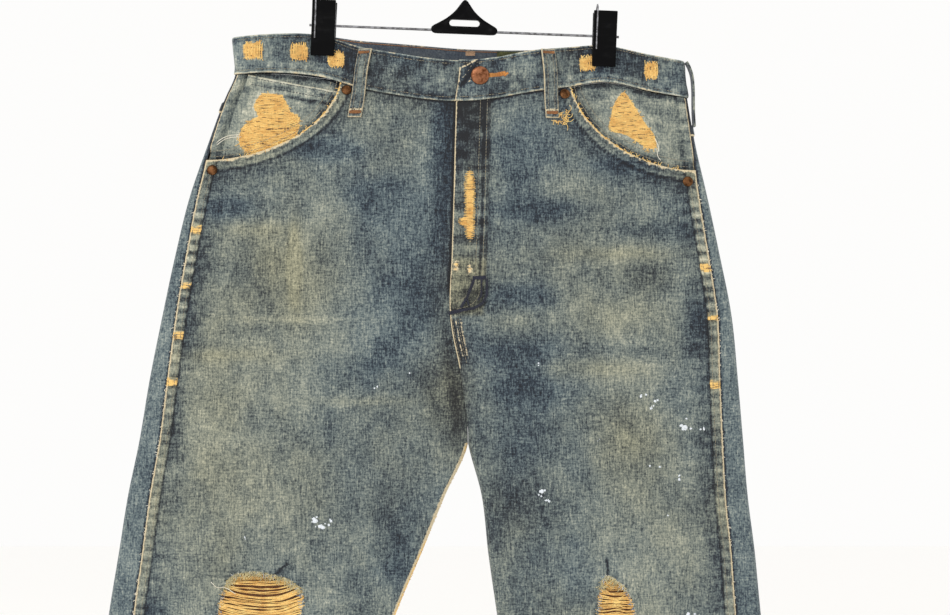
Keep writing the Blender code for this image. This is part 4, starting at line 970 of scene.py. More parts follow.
def fly_masks(x, z, from_edge, tone, olive, edge, bare):
    """The fly is darker than the thigh, ropy along its stitching, with painted shade past its raised edge,
    and worn through down its middle.
    """
    on_fly = beside(from_edge, FLY_WIDTH, 1.5) * step((z - FLY_BOTTOM_Z + 2) / 6)
    high = step((z + 235) / 40)
    tone = tone - (0.13 + 0.24 * high) * on_fly + 0.2 * on_fly * lumps(x, z, 8, 51)
    tone += 0.09 * on_fly * roping(z * 0.8, 52) + 0.16 * on_fly * high * lumps(x * 0.8, z, 6, 53)
    # Pale worn lines along the stitch rows with a dark line between them, and painted shade in a fainter band
    # past the fly's raised edge.
    pale = ridge(from_edge - 23.6, 1.0) + 0.8 * ridge(from_edge - 28.8, 1.0)
    dark = ridge(from_edge - 26.2, 0.8) + 0.3 * ridge(from_edge - 33, 2.4)
    tone += (0.18 * pale - 0.36 * dark) * step((z + 332) / 10)
    edge = np.maximum(edge, 0.9 * beside(from_edge, 0.7, 1.2) * step((z + 410) / 12))
    wear = np.zeros(z.shape)
    for at_x, at_z, half_width, half_height in FLY_BARE:
        far = ((x - at_x) / half_width) ** 2 + ((z - at_z) / half_height) ** 4
        wear = np.maximum(wear, np.exp(-far))
    for at_x, at_z, half_width in FLY_FADES:
        upward = step((z - at_z + 9) / 4) * ridge((z - at_z + 3).clip(0), 10)
        faded = upward * ridge(x - at_x, half_width)
        edge = np.maximum(edge, 0.78 * faded)
        wear = np.maximum(wear, 0.5 * faded)
    olive += 0.5 * on_fly * step((-296 - z) / 14)
    bare = np.maximum(bare, wear)
    olive += 0.35 * wear + 0.2 * on_fly
    fell = beside(from_edge, FELL_WIDTH, 1) * step((FLY_BOTTOM_Z - z) / 4) * step((z + 404) / 16)
    ridges = ridge(from_edge - 5, 1.1) + ridge(from_edge - 9.2, 1.0)
    edge = np.maximum(edge, 0.62 * ridges * fell)
    tone = tone - 0.32 * fell * (1 - ridges)
    return tone, olive, edge, bare

# %% Two fronts
def front(side):
    """A front, with its felled outseam, its fly, its scoop, its rip and its hem."""
    x, z, from_seam, from_edge = front_grid(side)
    x, z, keep, scoop = cut_hole(x, z, scoop_outline(side))
    x, z, keep_rip, rip = cut_hole(x, z, closed_curve(RIPS[side].outline, 90), 1.3)
    scoop = np.where(np.abs(z - POCKETS[side].corner_z) < 2, 99, nearest(x, z, scoop_line(side), False)[0])
    points = surface(FRONT, side, x, z)
    points[z[:, -1] <= CROTCH_Z, -1, 1] = -SEAM_GAP / 2
    band = beside(from_seam, FELL_WIDTH - 0.6, 1.2)
    outer = CLOTH + FELL_RISE * band * (0.45 + 0.55 * step(from_seam / 0.9))
    outer += 0.45 * ridge(scoop - 4.5, 3.2) * step(scoop / 1.5)
    outer += 0.12 * roping(z, 61) * band * step((-225 - z) / 30)
    outer += HEM_RISE * beside(z, HEM_Z + HEM_HEIGHT - 1, 2) * (0.7 + 0.3 * step((z - HEM_Z) / 2))
    inner = np.zeros_like(outer)
    if side == LEFT:
        on_fly = beside(from_edge, fly_width(z) - 0.6, 1.4)
        lapped = step((z - FLY_BOTTOM_Z) / 3) * on_fly
        felled = step((z - CROTCH_Z - 20) / 20) * on_fly
        inner = (CLOTH + LAP_GAP) * lapped
        ropy = 0.18 * roping(z, 62) * ridge(from_edge - FLY_WIDTH + 5, 4)
        rise = FELL_RISE * felled * (1 - lapped) + (FLY_RISE + ropy) * lapped
        outer = np.maximum(outer, CLOTH + rise * (0.6 + 0.4 * step(from_edge / 1.0)))
    masks = front_masks(side, x, z, from_seam, from_edge, scoop, rip)
    at_seam = outward(FRONT, side, points[:, 0, 0], points[:, 0, 2])
    edges = {0: at_seam, -1: edge_direction(side, FRONT, points[:, -1, 2])}
    name = SIDE_NAME[side] + "_front"
    made = shell(name, points, inner, outer, (0, FRONT, 0), masks, keep & keep_rip, (0,), edges)
    hung(made, (310, 1150))


for side in SIDES:
    front(side)

# %% [markdown]
# ## The backs and yokes
#
# A back starts at the outseam, which hangs on the front here, and wraps round the side fold. That
# narrow strip of the back is what shows beyond the seam in the photograph. The yoke above it is cut
# the same way, and ends in a felled seam that dips to the centre.

# %% The backs' grid
WRAP = (1.0, 0.985, 0.95, 0.88, 0.78, 0.66, 0.54, 0.42, 0.3, 0.2, 0.12, 0.06, 0.02)
NEAR_FOLD = (0.0, 0.25, 0.8, 1.7, 3.0, 5.0)
BACK_PLAIN = np.linspace(0, 1, 84)[1:]
BACK_LAST = (FELL_WIDTH, 8.9, 7.4, 6.0, 4.6, 3.2, 2.0, 1.0, 0.35, 0.0)


def back_grid(side, rows, lift):
    """Points of a back piece, their distances from the outseam and the centre, and the wrapped columns."""
    last = NEAR_FOLD[-1]
    columns = [(0, 0, share) for share in WRAP] + [(off, 0, 0) for off in NEAR_FOLD]
    columns += [(last, share, 0) for share in BACK_PLAIN]
    columns += [(last + FELL_END - off, 1, 0) for off in BACK_LAST]
    base, plain_share, seam_share = np.array(columns, float).T
    wrapped = np.arange(len(base)) < len(WRAP)
    rows = np.asarray(rows, float)[:, None]
    x, z = 0 * base + side_x(side, -300.0), rows + 0 * base
    for _ in range(5):
        z = lift(np.where(wrapped, FRONT, BACK), x, rows)
        fold = side_x(side, z)
        seam = level("seam", z) - SEAM_GAP / 2
        plain = side * (fold - edge_x(side, z)) - last - FELL_END
        off = base + plain_share * plain + seam_share * seam
        x = fold - side * off
    points = [surface(face, side, x[:, on], z[:, on]) for face, on in ((FRONT, wrapped), (BACK, ~wrapped))]
    from_edge = side * (x - edge_x(side, z)) + np.where(wrapped, 500, 0)
    from_seam = np.where(wrapped, seam - off, seam + 8 + off)
    return np.concatenate(points, axis=1), from_seam, from_edge, wrapped


def back_facing(side, wrapped):
    """Which way each column of a back piece faces out."""
    return np.where(wrapped[:, None], (side, 0, 0), (0, BACK, 0))


def back_edges(side, points, turned):
    """Directions of a back piece's two upright edges."""
    seam = outward(FRONT, side, points[:, 0, 0], points[:, 0, 2])
    z = points[:, -1, 2] if turned else np.full(len(points), PANEL_TOP_Z)
    return {0: seam, -1: edge_direction(side, BACK, z)}


def back_masks(side, points, from_seam, from_edge, wrapped):
    """Tone and wear of a back piece: plain blue on the wrapped strip, the back's patches behind."""
    x, z = points[..., 0], points[..., 2]
    tone, olive = worn(BACK, x, z)
    plain = 0.46 + 0.07 * lumps(z, x, 22, 71) + 0.05 * lumps(x, z / 3, 6, 72)
    blend = step((from_seam - 16) / 30)
    tone, olive = plain * (1 - blend) + tone * blend, -0.1 * (1 - blend) + olive * blend
    # Painted shadow: a dark line on the wrapped strip under the outseam's edge.
    tone -= 0.34 * beside(from_seam, 0.3, 2.2) * wrapped
    fell = beside(from_edge, FELL_WIDTH, 1)
    # Ropy wear along the centre fell, and a painted shade line beside it.
    tone += fell * 0.14 * roping(z, 73) - 0.2 * ridge(from_edge - 11, 2.2)
    edge = np.where(side == LEFT, 0.8 * beside(from_edge, 0.8, 1.2), 0) * step((z - CROTCH_Z - 10) / 10)
    worn_inseam = WORN_INSEAM[side] * step((CROTCH_Z + 4 - z) / 6)
    edge = np.maximum(edge, worn_inseam * beside(from_edge, 1.6, 2.4))
    tone += hem_tone(x, z, 74)
    edge = np.maximum(edge, beside(z - HEM_Z, 0.8, 2.2))
    bare = 0.5 * worn_inseam * beside(from_edge, 0.6, 1.6)
    return {"tone": tone, "olive": olive, "edge": edge, "bare": bare}

# %% Two backs and two yokes
def back(side):
    """A back: from the outseam round the side fold to the centre seam or the inseam."""
    rows = panel_rows(PANEL_TOP_Z, 3.0, 6.0)
    points, from_seam, from_edge, wrapped = back_grid(side, rows, under_yoke)
    z = points[..., 2]
    points[rows <= CROTCH_Z, -1, 1] = SEAM_GAP / 2
    outer = CLOTH + HEM_RISE * beside(z, HEM_Z + HEM_HEIGHT - 1, 2) * (0.7 + 0.3 * step((z - HEM_Z) / 2))
    if side == LEFT:
        fell = beside(from_edge, FELL_WIDTH - 0.6, 1.2) * step((z - CROTCH_Z - 20) / 20)
        outer = np.maximum(outer, CLOTH + FELL_RISE * fell * (0.6 + 0.4 * step(from_edge / 1.0)))
    masks = back_masks(side, points, from_seam, from_edge, wrapped)
    # Painted shadow under the yoke seam's edge.
    masks["tone"] -= 0.2 * beside(yoke_foot(points[..., 0]) - z, 0.8, 3.5)
    facing = back_facing(side, wrapped)
    name = SIDE_NAME[side] + "_back"
    edges = back_edges(side, points, True)
    made = shell(name, points, 0, outer, facing, masks, None, (0,), edges, (name + "_edge",))
    hung(made, (345, 1100))


def yoke(side):
    """A yoke, thicker along the felled seam at its foot."""
    shares = (0, 0.012, 0.03, 0.06, *np.linspace(0.1, 0.7, 24), 0.74, 0.755, 0.77, 0.79, 0.83, 0.88, 0.93,
              0.97, 0.99, 1.0)

    def lift(face, x, share):
        top = band_foot(BACK, x) - SEAM_GAP
        return top + (yoke_foot(x) - top) * share

    points, from_seam, from_edge, wrapped = back_grid(side, shares, lift)
    z = points[..., 2]
    foot = z - yoke_foot(points[..., 0])
    fell = beside(foot, FELL_WIDTH - 1, 1.4)
    if side == LEFT:
        fell = np.maximum(fell, beside(from_edge, FELL_WIDTH - 0.6, 1.2))
    outer = CLOTH + FELL_RISE * fell * (0.6 + 0.4 * step(foot / 1.0))
    masks = back_masks(side, points, from_seam, from_edge, wrapped)
    # Ropy wear along the yoke's fell, a painted shade line beside it, and painted shadow under the waistband.
    masks["tone"] += 0.12 * fell * roping(points[..., 0], 75) - 0.2 * ridge(foot - 11, 2)
    masks["tone"] -= 0.18 * beside(band_foot(BACK, points[..., 0]) - z, 1, 4)
    masks["edge"] = np.maximum(masks["edge"], 0.85 * beside(foot, 0.6, 1.2))
    facing = back_facing(side, wrapped)
    edges = back_edges(side, points, False)
    made = shell(SIDE_NAME[side] + "_yoke", points, 0, outer, facing, masks, None, (0, -1), edges)
    hung(made, (250, 90))


for side in SIDES:
    back(side)
    yoke(side)

# %% [markdown]
# ## The waistband
#
# The waistband is one strip. It starts at its buttonhole end over the fly, runs round the waist and
# ends under itself, so the first columns stand one thickness higher. Its edges are worn to pale
# cotton, and between them the cloth is mottled where it drew up in the wash.

# %% The waistband's grid
BAND_SHARES = np.array([0, 0.008, 0.02, 0.045, 0.08, *np.linspace(0.12, 0.88, 16), 0.92, 0.955, 0.98, 0.992,
                        1])
LAP = FLY_WIDTH - 3


def band_columns():
    """Each column's face, its share of the way from the right side fold to the left, and its height."""
    near = np.array([0, 0.0004, 0.0012, 0.003, 0.006, 0.011, 0.019])
    foot = [float(side_x(side, -150.0)) for side in (RIGHT, LEFT)]
    start = (float(centre_x(LEFT, -134.5)) - foot[0]) / (foot[1] - foot[0])
    width = foot[1] - foot[0]
    over = WAISTBAND + LAP_GAP
    lap = start + LAP / width
    front_left = [*np.linspace(start, lap + 20 / width, 24), *np.linspace(lap + 22 / width, 0.975, 74)]
    front_left += [*(1 - near[::-1])]
    back_part = [*(1 - near), *np.linspace(0.975, 0.025, 176), *near[::-1]]
    front_right = [*near, *np.linspace(0.025, start, 84), *np.linspace(start, lap, 14)[1:]]
    faces = np.array([FRONT] * len(front_left) + [BACK] * (len(back_part) - 2) + [FRONT] * len(front_right))
    shares = np.array([*front_left, *back_part[1:-1], *front_right])
    from_lap = (shares - lap) * width
    high = over * (1 - step((from_lap - 0.5) / 11)) * (np.arange(len(shares)) < len(front_left))
    return faces, shares, high


def band_grid():
    """Points of the waistband's inner surface, and what goes with each column."""
    faces, shares, high = band_columns()
    parts = []
    for face in (FRONT, BACK):
        foot = np.full((1, len(shares)), -140.0)
        for _ in range(3):
            x = side_x(RIGHT, foot) + (side_x(LEFT, foot) - side_x(RIGHT, foot)) * shares
            foot = band_foot(face, x)
        top = waist_top(face, x)
        z = top + (foot - top) * BAND_SHARES[:, None]
        x = side_x(RIGHT, z) + (side_x(LEFT, z) - side_x(RIGHT, z)) * shares
        parts.append(surface(face, LEFT, x, z))
    return np.where((faces == FRONT)[None, :, None], *parts), faces, high

# %% The waistband
# The places that are worn down to their weft: x, z, half width and half height.
BAND_WORN = (
    (-199, -110, 9.5, 7.5), (-157, -111, 9, 7), (-122.5, -117.5, 8.5, 6.8), (111, -121, 8.5, 6),
    (170, -128.5, 6.5, 7),
)


def band_masks(x, z, length, down, up, pressed, on_front):
    """The waistband is mottled, ropy along its edges, and turned and creased at its buttonhole end."""
    tone = 0.46 + 0.12 * lumps(length, z, 14, 83) + 0.1 * lumps(length, z, 5, 84)
    tone += 0.06 * lumps(length, z / 2, 40, 85)
    tone += 0.1 * roping(length * 0.9, 86) * beside(np.minimum(down, up), 5, 4)
    tone -= 0.16 * ridge(down - 3.4, 1.3) + 0.14 * ridge(up - 3.4, 1.3)
    tone -= 0.28 * pressed * beside(down, 24, 4) * on_front
    rim = np.maximum(beside(down, 0.7, 0.8), beside(up, 0.5, 0.8))
    tone += 0.34 * rim
    edge = rim * (0.42 + 0.3 * lumps(length, z, 9, 88))
    corner = (down - 8.5 + length * 0.5) * 0.89
    edge = np.maximum(edge, 0.8 * beside(length, 0.8, 2.0) * step((down - 6) / 3))
    edge = np.maximum(edge, 0.8 * ridge(corner, 1.0) * beside(length, 17, 2))
    slant = length - 18.5 + 0.63 * down
    for off, fold_width, foot in ((4.2, 1.1, 20), (-3.8, 1.0, 18)):
        fold = ridge(slant - off, fold_width) * beside(down, foot, 5)
        edge = np.maximum(edge, 0.66 * fold * (corner > 0) * step((length - 0.8) / 1.5))
    # Painted shadow in the fold of the turned buttonhole end, between its pale folded edges.
    tone -= 0.6 * ridge(slant, 2.1) * beside(down, 22, 5) * step(corner / 1.5) * step(length / 3)
    middle = beside(np.abs(x + 18), 90, 12) * on_front
    tone -= middle * (0.13 + 0.12 * lumps(length, z, 7, 89))
    bare = np.zeros(x.shape)
    for at_x, at_z, half_width, half_height in BAND_WORN:
        far = ((x - at_x) / half_width) ** 4 + ((z - at_z) / half_height) ** 4
        bare = np.maximum(bare, np.exp(-far) * on_front)
        tone += 0.1 * ridge(x - at_x, 22) * ridge(z - at_z, 14) * on_front
    return {"tone": tone, "olive": 0.12 + 0.2 * lumps(length, z, 30, 87), "edge": edge, "bare": bare}


def waistband():
    """The waistband's shell, rounded at its edges and ropy between its stitches."""
    points, faces, high = band_grid()
    x, z = points[..., 0], points[..., 2]
    down = BAND_SHARES[:, None] * waist("band", x)
    up = (1 - BAND_SHARES[:, None]) * waist("band", x)
    profile = (0.62 + 0.38 * quarter_round(down / 2.2)) * (0.72 + 0.28 * quarter_round(up / 1.6))
    run = np.cumsum(np.linalg.norm(np.diff(points[-1], axis=0), axis=1))
    length = np.array([0, *run]) + 0 * x
    nearer = np.minimum(down, up)
    draw = 0.35 * roping(length * 0.9, 81) * beside(nearer, 7, 5) + 0.3 * lumps(length, z, 12, 82)
    pressed = grip(x, z)
    low = high + 0 * x
    outer = low + WAISTBAND * profile + draw * (1 - pressed) * nearer.clip(0, 3) / 3
    masks = band_masks(x, z, length, down, up, pressed, faces == FRONT)
    facing = np.stack([0 * faces, faces, 0 * faces], axis=-1)
    made = shell("waistband", points, low, outer, facing, masks, None, (-1,))
    hung(made, (890, 39))


waistband()

# %% [markdown]
# ## Pocket facings and the coin pocket
#
# Behind each scoop lies the facing, which the outseam catches. It hangs a little behind the front.
# Both facings are worn through to the weft, in a bell on one side and a ragged triangle on the other.

# %% The worn places on the facings
BELLS = {
    RIGHT: ((-191, -151), (-175, -151), (-168, -160), (-165, -167), (-157, -172), (-157, -182), (-163, -193),
            (-172, -200), (-188, -204), (-206, -203), (-212, -191), (-206, -178), (-194, -171), (-198, -162)),
    LEFT: ((143, -149), (147, -150), (152, -159), (158, -168), (164, -178), (172, -188), (174, -199),
           (166, -200), (157, -194), (147, -188), (138, -185), (131, -183), (133, -172), (136, -160)),
}


def facing_masks(side, x, z):
    """Where a facing is pale, dark and bare."""
    tone, _ = worn(FRONT, x * 1.3, z * 1.3)
    outline = closed_curve(BELLS[side], 80)
    far, _ = nearest(x, z, outline)
    inside = within(x, z, outline)
    top = band_foot(FRONT, x) - z
    # The facing's tone, with painted shadow under the waistband's edge.
    tone = tone * 0.9 + 0.16 + 0.17 * lumps(x / 1.8, z, 7, 91) - 0.36 * beside(top, 3, 4)
    tone += 0.16 * ridge(far, 7)
    scoop = nearest(x, z, scoop_line(side), False)[0]
    # Painted shadow where the front's scoop edge stands in front of the facing.
    tone -= 0.28 * beside(scoop, 1, 7)
    seam = np.abs(x - seam_x(side, z))
    # A painted shade line beside the raised felled seam, and ropy wear along the seam.
    tone = tone - 0.2 * ridge(seam - 9, 2) + 0.1 * roping(z, 92) * beside(seam, 8, 2)
    edge = 0.8 * beside(seam, 0.5, 1.5)
    bare = np.where(inside, 1.0, 0.75 * beside(far, 0, 1.6))
    return {"tone": tone, "olive": 0.35 + 0 * x, "edge": edge, "bare": bare}


def facing_points(side, marks, shares):
    """Points of a facing, from the outseam to its far edge behind the front."""
    pocket = POCKETS[side]
    inner_end = pocket.corner_x - side * FACING_HEM
    z = -160 + 0 * shares[:, None] + 0 * marks
    for _ in range(4):
        seam = seam_x(side, z, SEAM_GAP / 2)
        x = seam * (1 - marks) + inner_end * marks
        top = band_foot(FRONT, x) - 3 * SEAM_GAP
        foot = np.minimum(scoop_z(side, x, FACING_HEM), top - FACING_HEM)
        z = top + (foot - top) * shares[:, None]
    return surface(FRONT, side, x, z)


def facing(side):
    """The cloth behind a pocket's scoop. Along the outseam it comes up level with the front."""
    marks = np.array([0, 0.004, 0.012, 0.025, *np.linspace(0.04, 1, 68)])
    points = facing_points(side, marks, np.linspace(0, 1, 44))
    x, z = points[..., 0], points[..., 2]
    from_seam = side * (points[:, :1, 0] - x)
    rise = step((9.0 - from_seam) / 5) * step((z - POCKETS[side].foot_z - 5) / 8)
    low = FACING_DEPTH[side] * (1 - rise)
    outer = low + CLOTH * (0.7 + 0.3 * step(from_seam / 0.9)) + 0.3 * rise * roping(z, 93) * 0.4
    edges = {0: outward(FRONT, side, points[:, 0, 0], points[:, 0, 2])}
    masks = facing_masks(side, x, z)
    made = shell(SIDE_NAME[side] + "_facing", points, low, outer, (0, FRONT, 0), masks, edges=edges)
    hung(made, (150, 100))


for side in SIDES:
    facing(side)

# %% The coin pocket
def coin_pocket():
    """The coin pocket lies on the wearer's right facing and runs on under the front."""
    marks = np.linspace(0.09, 0.94, 60)
    shares = np.linspace(0, 1, 60)
    panel = facing_points(RIGHT, marks, shares)
    (x0, z0), (x1, z1) = COIN_TOP
    own = np.array([0, 0.01, 0.03, 0.08, 0.14, 0.2, 0.22, 0.24, 0.27, *np.linspace(0.33, 1, 20)])
    points = np.empty((len(own), len(marks), 3))
    for j in range(len(marks)):
        upward = panel[::-1, j]
        top = z0 + (z1 - z0) * (upward[-1, 0] - x0) / (x1 - x0)
        z = top + (upward[0, 2] + 3 - top) * own
        for k in range(3):
            points[:, j, k] = np.interp(z, upward[:, 2], upward[:, k])
    x, z = points[..., 0], points[..., 2]
    down = z[:1] - z
    hem = beside(down, 11.5, 1.2)
    outer = COIN_DEPTH + 0.9 + 0.45 * hem * (0.5 + 0.5 * step(down / 0.8)) + 0.1 * roping(x, 95) * hem
    masks = facing_masks(RIGHT, x, z)
    # Ropy wear on the hem, a painted shadow line under its edge, a pale worn top edge and a dark line along
    # the hem's middle.
    masks["tone"] += hem * (0.1 + 0.1 * roping(x, 96)) - 0.55 * ridge(down - 13, 1.4)
    masks["tone"] += 0.3 * beside(down, 0.8, 1.0) - 0.4 * ridge(down - 6, 0.8) * hem
    masks["edge"] = np.maximum(masks["edge"], 0.5 * beside(down, 0.6, 1.0))
    masks["bare"] = masks["bare"] * (1 - hem)
    made = shell("coin_pocket", points, COIN_DEPTH, outer, (0, FRONT, 0), masks)
    hung(made, (100, 75))


coin_pocket()

# %% [markdown]
# ## Back pockets, belt loops and the label strip
#
# These are laid on the panels: each takes the panel's own points and stands a little further out.

# %% Back pockets
# A patch pocket: its four corners and its point.
BackPocket = namedtuple("BackPocket", "top_inner top_outer foot_inner foot_outer point_drop")
BACK_POCKETS = {
    RIGHT: BackPocket((-62, -232), (-212, -220), (-70, -372), (-206, -362), 17),
    LEFT: BackPocket((38, -236), (182, -234), (46, -376), (178, -374), 17),
}


def back_pocket(side):
    """A patch pocket on a back, with a thicker hem along its top and a bowed-in pair of sides."""
    pocket = BACK_POCKETS[side]
    shares = [0, 0.006, 0.02, 0.05, 0.09, 0.12, 0.128, 0.136, 0.145, *np.linspace(0.17, 0.97, 44), 0.985,
              0.995, 1]
    marks = [0, 0.004, 0.012, *np.linspace(0.03, 0.97, 54), 0.988, 0.996, 1.0]
    corners = [np.array(c, float) for c in pocket[:4]]
    s, m = np.array(shares)[:, None], np.array(marks)[None, :]
    inner = corners[0] * (1 - s) + corners[2] * s
    outer = corners[1] * (1 - s) + corners[3] * s
    x = inner[:, :1] * (1 - m) + outer[:, :1] * m
    z = inner[:, 1:] * (1 - m) + outer[:, 1:] * m - s * pocket.point_drop * (1 - np.abs(2 * m - 1))
    points = surface(BACK, side, x, z)
    across = np.linalg.norm(corners[1] - corners[0])
    from_side = np.minimum(m, 1 - m) * across + 0 * z
    from_foot = (1 - s) * 140 + 0 * x
    down = s * 140 + 0 * x
    rim = np.minimum(from_side, from_foot)
    hem = beside(down, 18.5, 1.2)
    low = CLOTH + 0.65
    ropy = 1 + 0.1 * roping(from_foot + x, 101) * beside(rim, 8, 3)
    rise = (0.5 + 0.5 * step(np.minimum(rim, down) / 0.9)) * ropy
    tone, olive = worn(BACK, x, z)
    tone += 0.05 + 0.1 * roping(x + z, 102) * beside(rim, 7, 2) - 0.2 * ridge(rim - 9, 1.6)
    # Ropy wear on the hem, and a painted shade line under its raised edge.
    tone += 0.12 * hem * roping(x, 103) - 0.22 * ridge(down - 20, 1.6)
    edge = 0.92 * np.maximum(beside(rim, 0.6, 1.0), beside(down, 0.6, 1.2))
    masks = {"tone": tone, "olive": olive, "edge": edge}
    name, wall = SIDE_NAME[side] + "_back_pocket", low + CLOTH * rise + 0.7 * hem
    made = shell(name, points, low, wall, (0, BACK, 0), masks)
    hung(made, (155, 160))


for side in SIDES:
    back_pocket(side)

# %% Belt loops
# A belt loop: the face that it lies on, and where its middle line starts and ends.
Loop = namedtuple("Loop", "name face top_x foot_x length")
LOOP_WIDTH, LOOP_CLOTH = 12.5, 2.2
LOOPS = (
    Loop("right_front_loop", FRONT, -94.2, -104.6, 64),
    Loop("left_front_loop", FRONT, 73.0, 78.0, 64),
    Loop("right_back_loop", BACK, -188.0, -192.0, 58),
    Loop("centre_back_loop", BACK, -10.5, -11.5, 60),
)
LOOP_MARKS = np.array([0, 0.03, 0.08, 0.16, 0.28, 0.4, 0.5, 0.6, 0.72, 0.84, 0.92, 0.97, 1.0])


def loop_top(loop):
    return waist_top(loop.face, loop.top_x) - 0.5


def loop_middle(loop, z):
    return loop.top_x + (loop.foot_x - loop.top_x) * (loop_top(loop) - z) / loop.length


def loop_lift(loop, z):
    """How far a belt loop stands off the cloth: most over the waistband, least at its tacked ends."""
    top, foot = loop_top(loop), band_foot(loop.face, loop.foot_x)
    high = np.array([1.9, 2.1, 3.6, 4.6, 4.9, 4.0, 3.1])
    if loop.name.startswith("centre"):
        high[:2] += FELL_RISE
    return smooth_curve([top - loop.length, foot - 9, foot - 2, foot + 8, top - 14, top - 5, top], high, z)


def loop_masks(along, across, length):
    """A belt loop is grey and dusty, with pale folded edges and dark stitching inside them."""
    off = np.minimum(across, 1 - across) * LOOP_WIDTH
    end = np.minimum(along, length - along)
    tone = 0.42 + 0.1 * lumps(along, across * 12, 5, 111) - 0.22 * ridge(off - 2.4, 0.7)
    tone += 0.08 * roping(along * 1.2, 112) * beside(off, 2, 1)
    tone = tone - 0.3 * ridge(end - 4, 1.2)
    edge = 0.85 * np.maximum(beside(off, 0.3, 0.6), beside(end, 0.5, 1.0))
    edge = np.maximum(edge, 0.75 * ridge(end - 7, 1.4) * (along > length / 2))
    return {"tone": tone, "olive": 0.3 + 0 * tone, "edge": edge, "bare": 0 * tone}


def belt_loop(loop):
    """A belt loop that lies along the waistband and is tacked down below it."""
    ends = np.array([0, 0.4, 1.2])
    along = np.array([*ends, *np.linspace(2.5, loop.length - 2.5, 28), *(loop.length - ends[::-1])])
    z = np.repeat((loop_top(loop) - along)[:, None], len(LOOP_MARKS), axis=1)
    low = loop_lift(loop, z)
    x = loop_middle(loop, z) + (LOOP_MARKS - 0.5) * LOOP_WIDTH
    side = RIGHT if loop.top_x < 0 else LEFT
    points = surface(loop.face, side, x, z)
    off = np.minimum(LOOP_MARKS, 1 - LOOP_MARKS) * LOOP_WIDTH
    end = np.minimum(along, loop.length - along)[:, None]
    rise = (0.45 + 0.55 * quarter_round(off / 1.2)) * (0.5 + 0.5 * quarter_round(end / 1.0))
    rise += 0.12 * ridge(off - 1.2, 0.8)
    masks = loop_masks(along[:, None] + 0 * x, LOOP_MARKS + 0 * x, loop.length)
    made = shell(loop.name, points, low, low + LOOP_CLOTH * rise, (0, loop.face, 0), masks)
    hung(made, (LOOP_WIDTH, 64))


SIDE_LOOP = (
    (201.9, -120.5), (204.8, -126), (207.2, -134), (208.2, -146), (208.3, -158), (208.5, -168), (209.2, -180),
)


def side_loop():
    """The belt loop at the wearer's left side, which stands off the fold."""
    line = open_curve(SIDE_LOOP, 40)
    length = float(np.linalg.norm(np.diff(line, axis=0), axis=1).sum())
    y = (LOOP_MARKS - 0.5) * LOOP_WIDTH
    points = np.stack([line[:, :1] + 0 * y, 0 * line[:, :1] + y, line[:, 1:] + 0 * y], axis=-1)
    off = np.minimum(LOOP_MARKS, 1 - LOOP_MARKS) * LOOP_WIDTH
    along = np.linspace(0, length, len(line))[:, None]
    rise = 0.45 + 0.55 * quarter_round(off / 1.2) + 0 * along
    masks = loop_masks(along + 0 * y, LOOP_MARKS + 0 * along, length)
    masks["edge"] *= 0.3
    masks["olive"] += 0.3
    masks["tone"] += 0.12 - 0.5 * ridge(along - length + 7, 4)
    made = shell("left_side_loop", points, 0, LOOP_CLOTH * rise, (1, 0, 0), masks)
    hung(made, (LOOP_WIDTH, 64))


for loop in LOOPS:
    belt_loop(loop)
side_loop()

# %% [markdown]
# ## Threads
#
# Every loose thread is a thin tube along a path of a few points. The weft threads that still cross
# the rips sag in the middle, since nothing holds them down. Frayed ends stick out where an edge has
# worn through.

# %% Thin tubes
def thread_paint(name, low, high, roughness=0.95):
    """A cotton thread's colour, which varies a little along it."""
    paint = Paint(name, roughness=roughness, sheen=0.15)
    grain = paint.noise(900)
    cloudy = paint.noise(110)
    paint.set("Base Color", paint.mix(((grain - 0.5) * 1.2 + (cloudy - 0.5) * 1.6 + 0.5).clip(), low, high))
    paint.bump(grain, 0.0002)
    return paint.material


WEFT_PAINT = thread_paint("weft thread", rgb(212, 156, 76), rgb(255, 226, 146))
SHADED_PAINT = thread_paint("shaded weft thread", rgb(92, 54, 24), rgb(150, 100, 50))
OLIVE_PAINT = thread_paint("olive frayed thread", rgb(146, 138, 100), rgb(220, 206, 158))
PALE_PAINT = thread_paint("pale frayed thread", rgb(206, 196, 172), rgb(250, 246, 232))
BLUE_PAINT = thread_paint("blue frayed thread", rgb(78, 100, 132), rgb(190, 204, 214))
NAVY_PAINT = thread_paint("navy sewing thread", rgb(8, 11, 26), rgb(28, 34, 58))
DULL_PAINT = thread_paint("faded sewing thread", rgb(92, 90, 84), rgb(168, 158, 130))
RUST_PAINT = thread_paint("rust sewing thread", rgb(112, 70, 38), rgb(176, 118, 62))


def laid(face, leg, paths):
    """Paths of x, z and height off the cloth's inner surface, as points in space."""
    flat = np.concatenate(paths)
    points = above(face, leg, flat[:, 0], flat[:, 1], flat[:, 2])
    return np.split(points, np.cumsum([len(p) for p in paths])[:-1])


def flat_path(x, z, lift):
    return np.stack(np.broadcast_arrays(np.asarray(x, float), z, lift), axis=1)


def tubes(paths, widths):
    """Vertices and faces of thin four-sided tubes along paths, each with its own number of points."""
    turns = turns_of(4)[None, :, None]
    vertices, faces, start = [], [], 0
    for path, width in zip(paths, np.broadcast_to(widths, len(paths))):
        path = np.asarray(path, float)
        run = np.gradient(path, axis=0)
        across = unit(np.cross(run, (0.02, 1, 0.03)))
        up = unit(np.cross(across, run))
        ring = path[:, None] + width / 2 * (np.cos(turns) * across[:, None] + np.sin(turns) * up[:, None])
        vertices.append(ring.reshape(-1, 3))
        end = start + 4 * len(path)
        faces.append(ring_faces(len(path), 4, start))
        faces.append(np.array([range(start, start + 4), range(end - 1, end - 5, -1)]))
        start = end
    return np.concatenate(vertices), np.concatenate(faces)


def strands(name, paths, widths, paint, replaces=()):
    vertices, faces = tubes(paths, widths)
    finished(name, vertices, faces, paint, replaces=replaces)
    print(f"{name}: {len(paths)} threads, {len(faces)} faces")

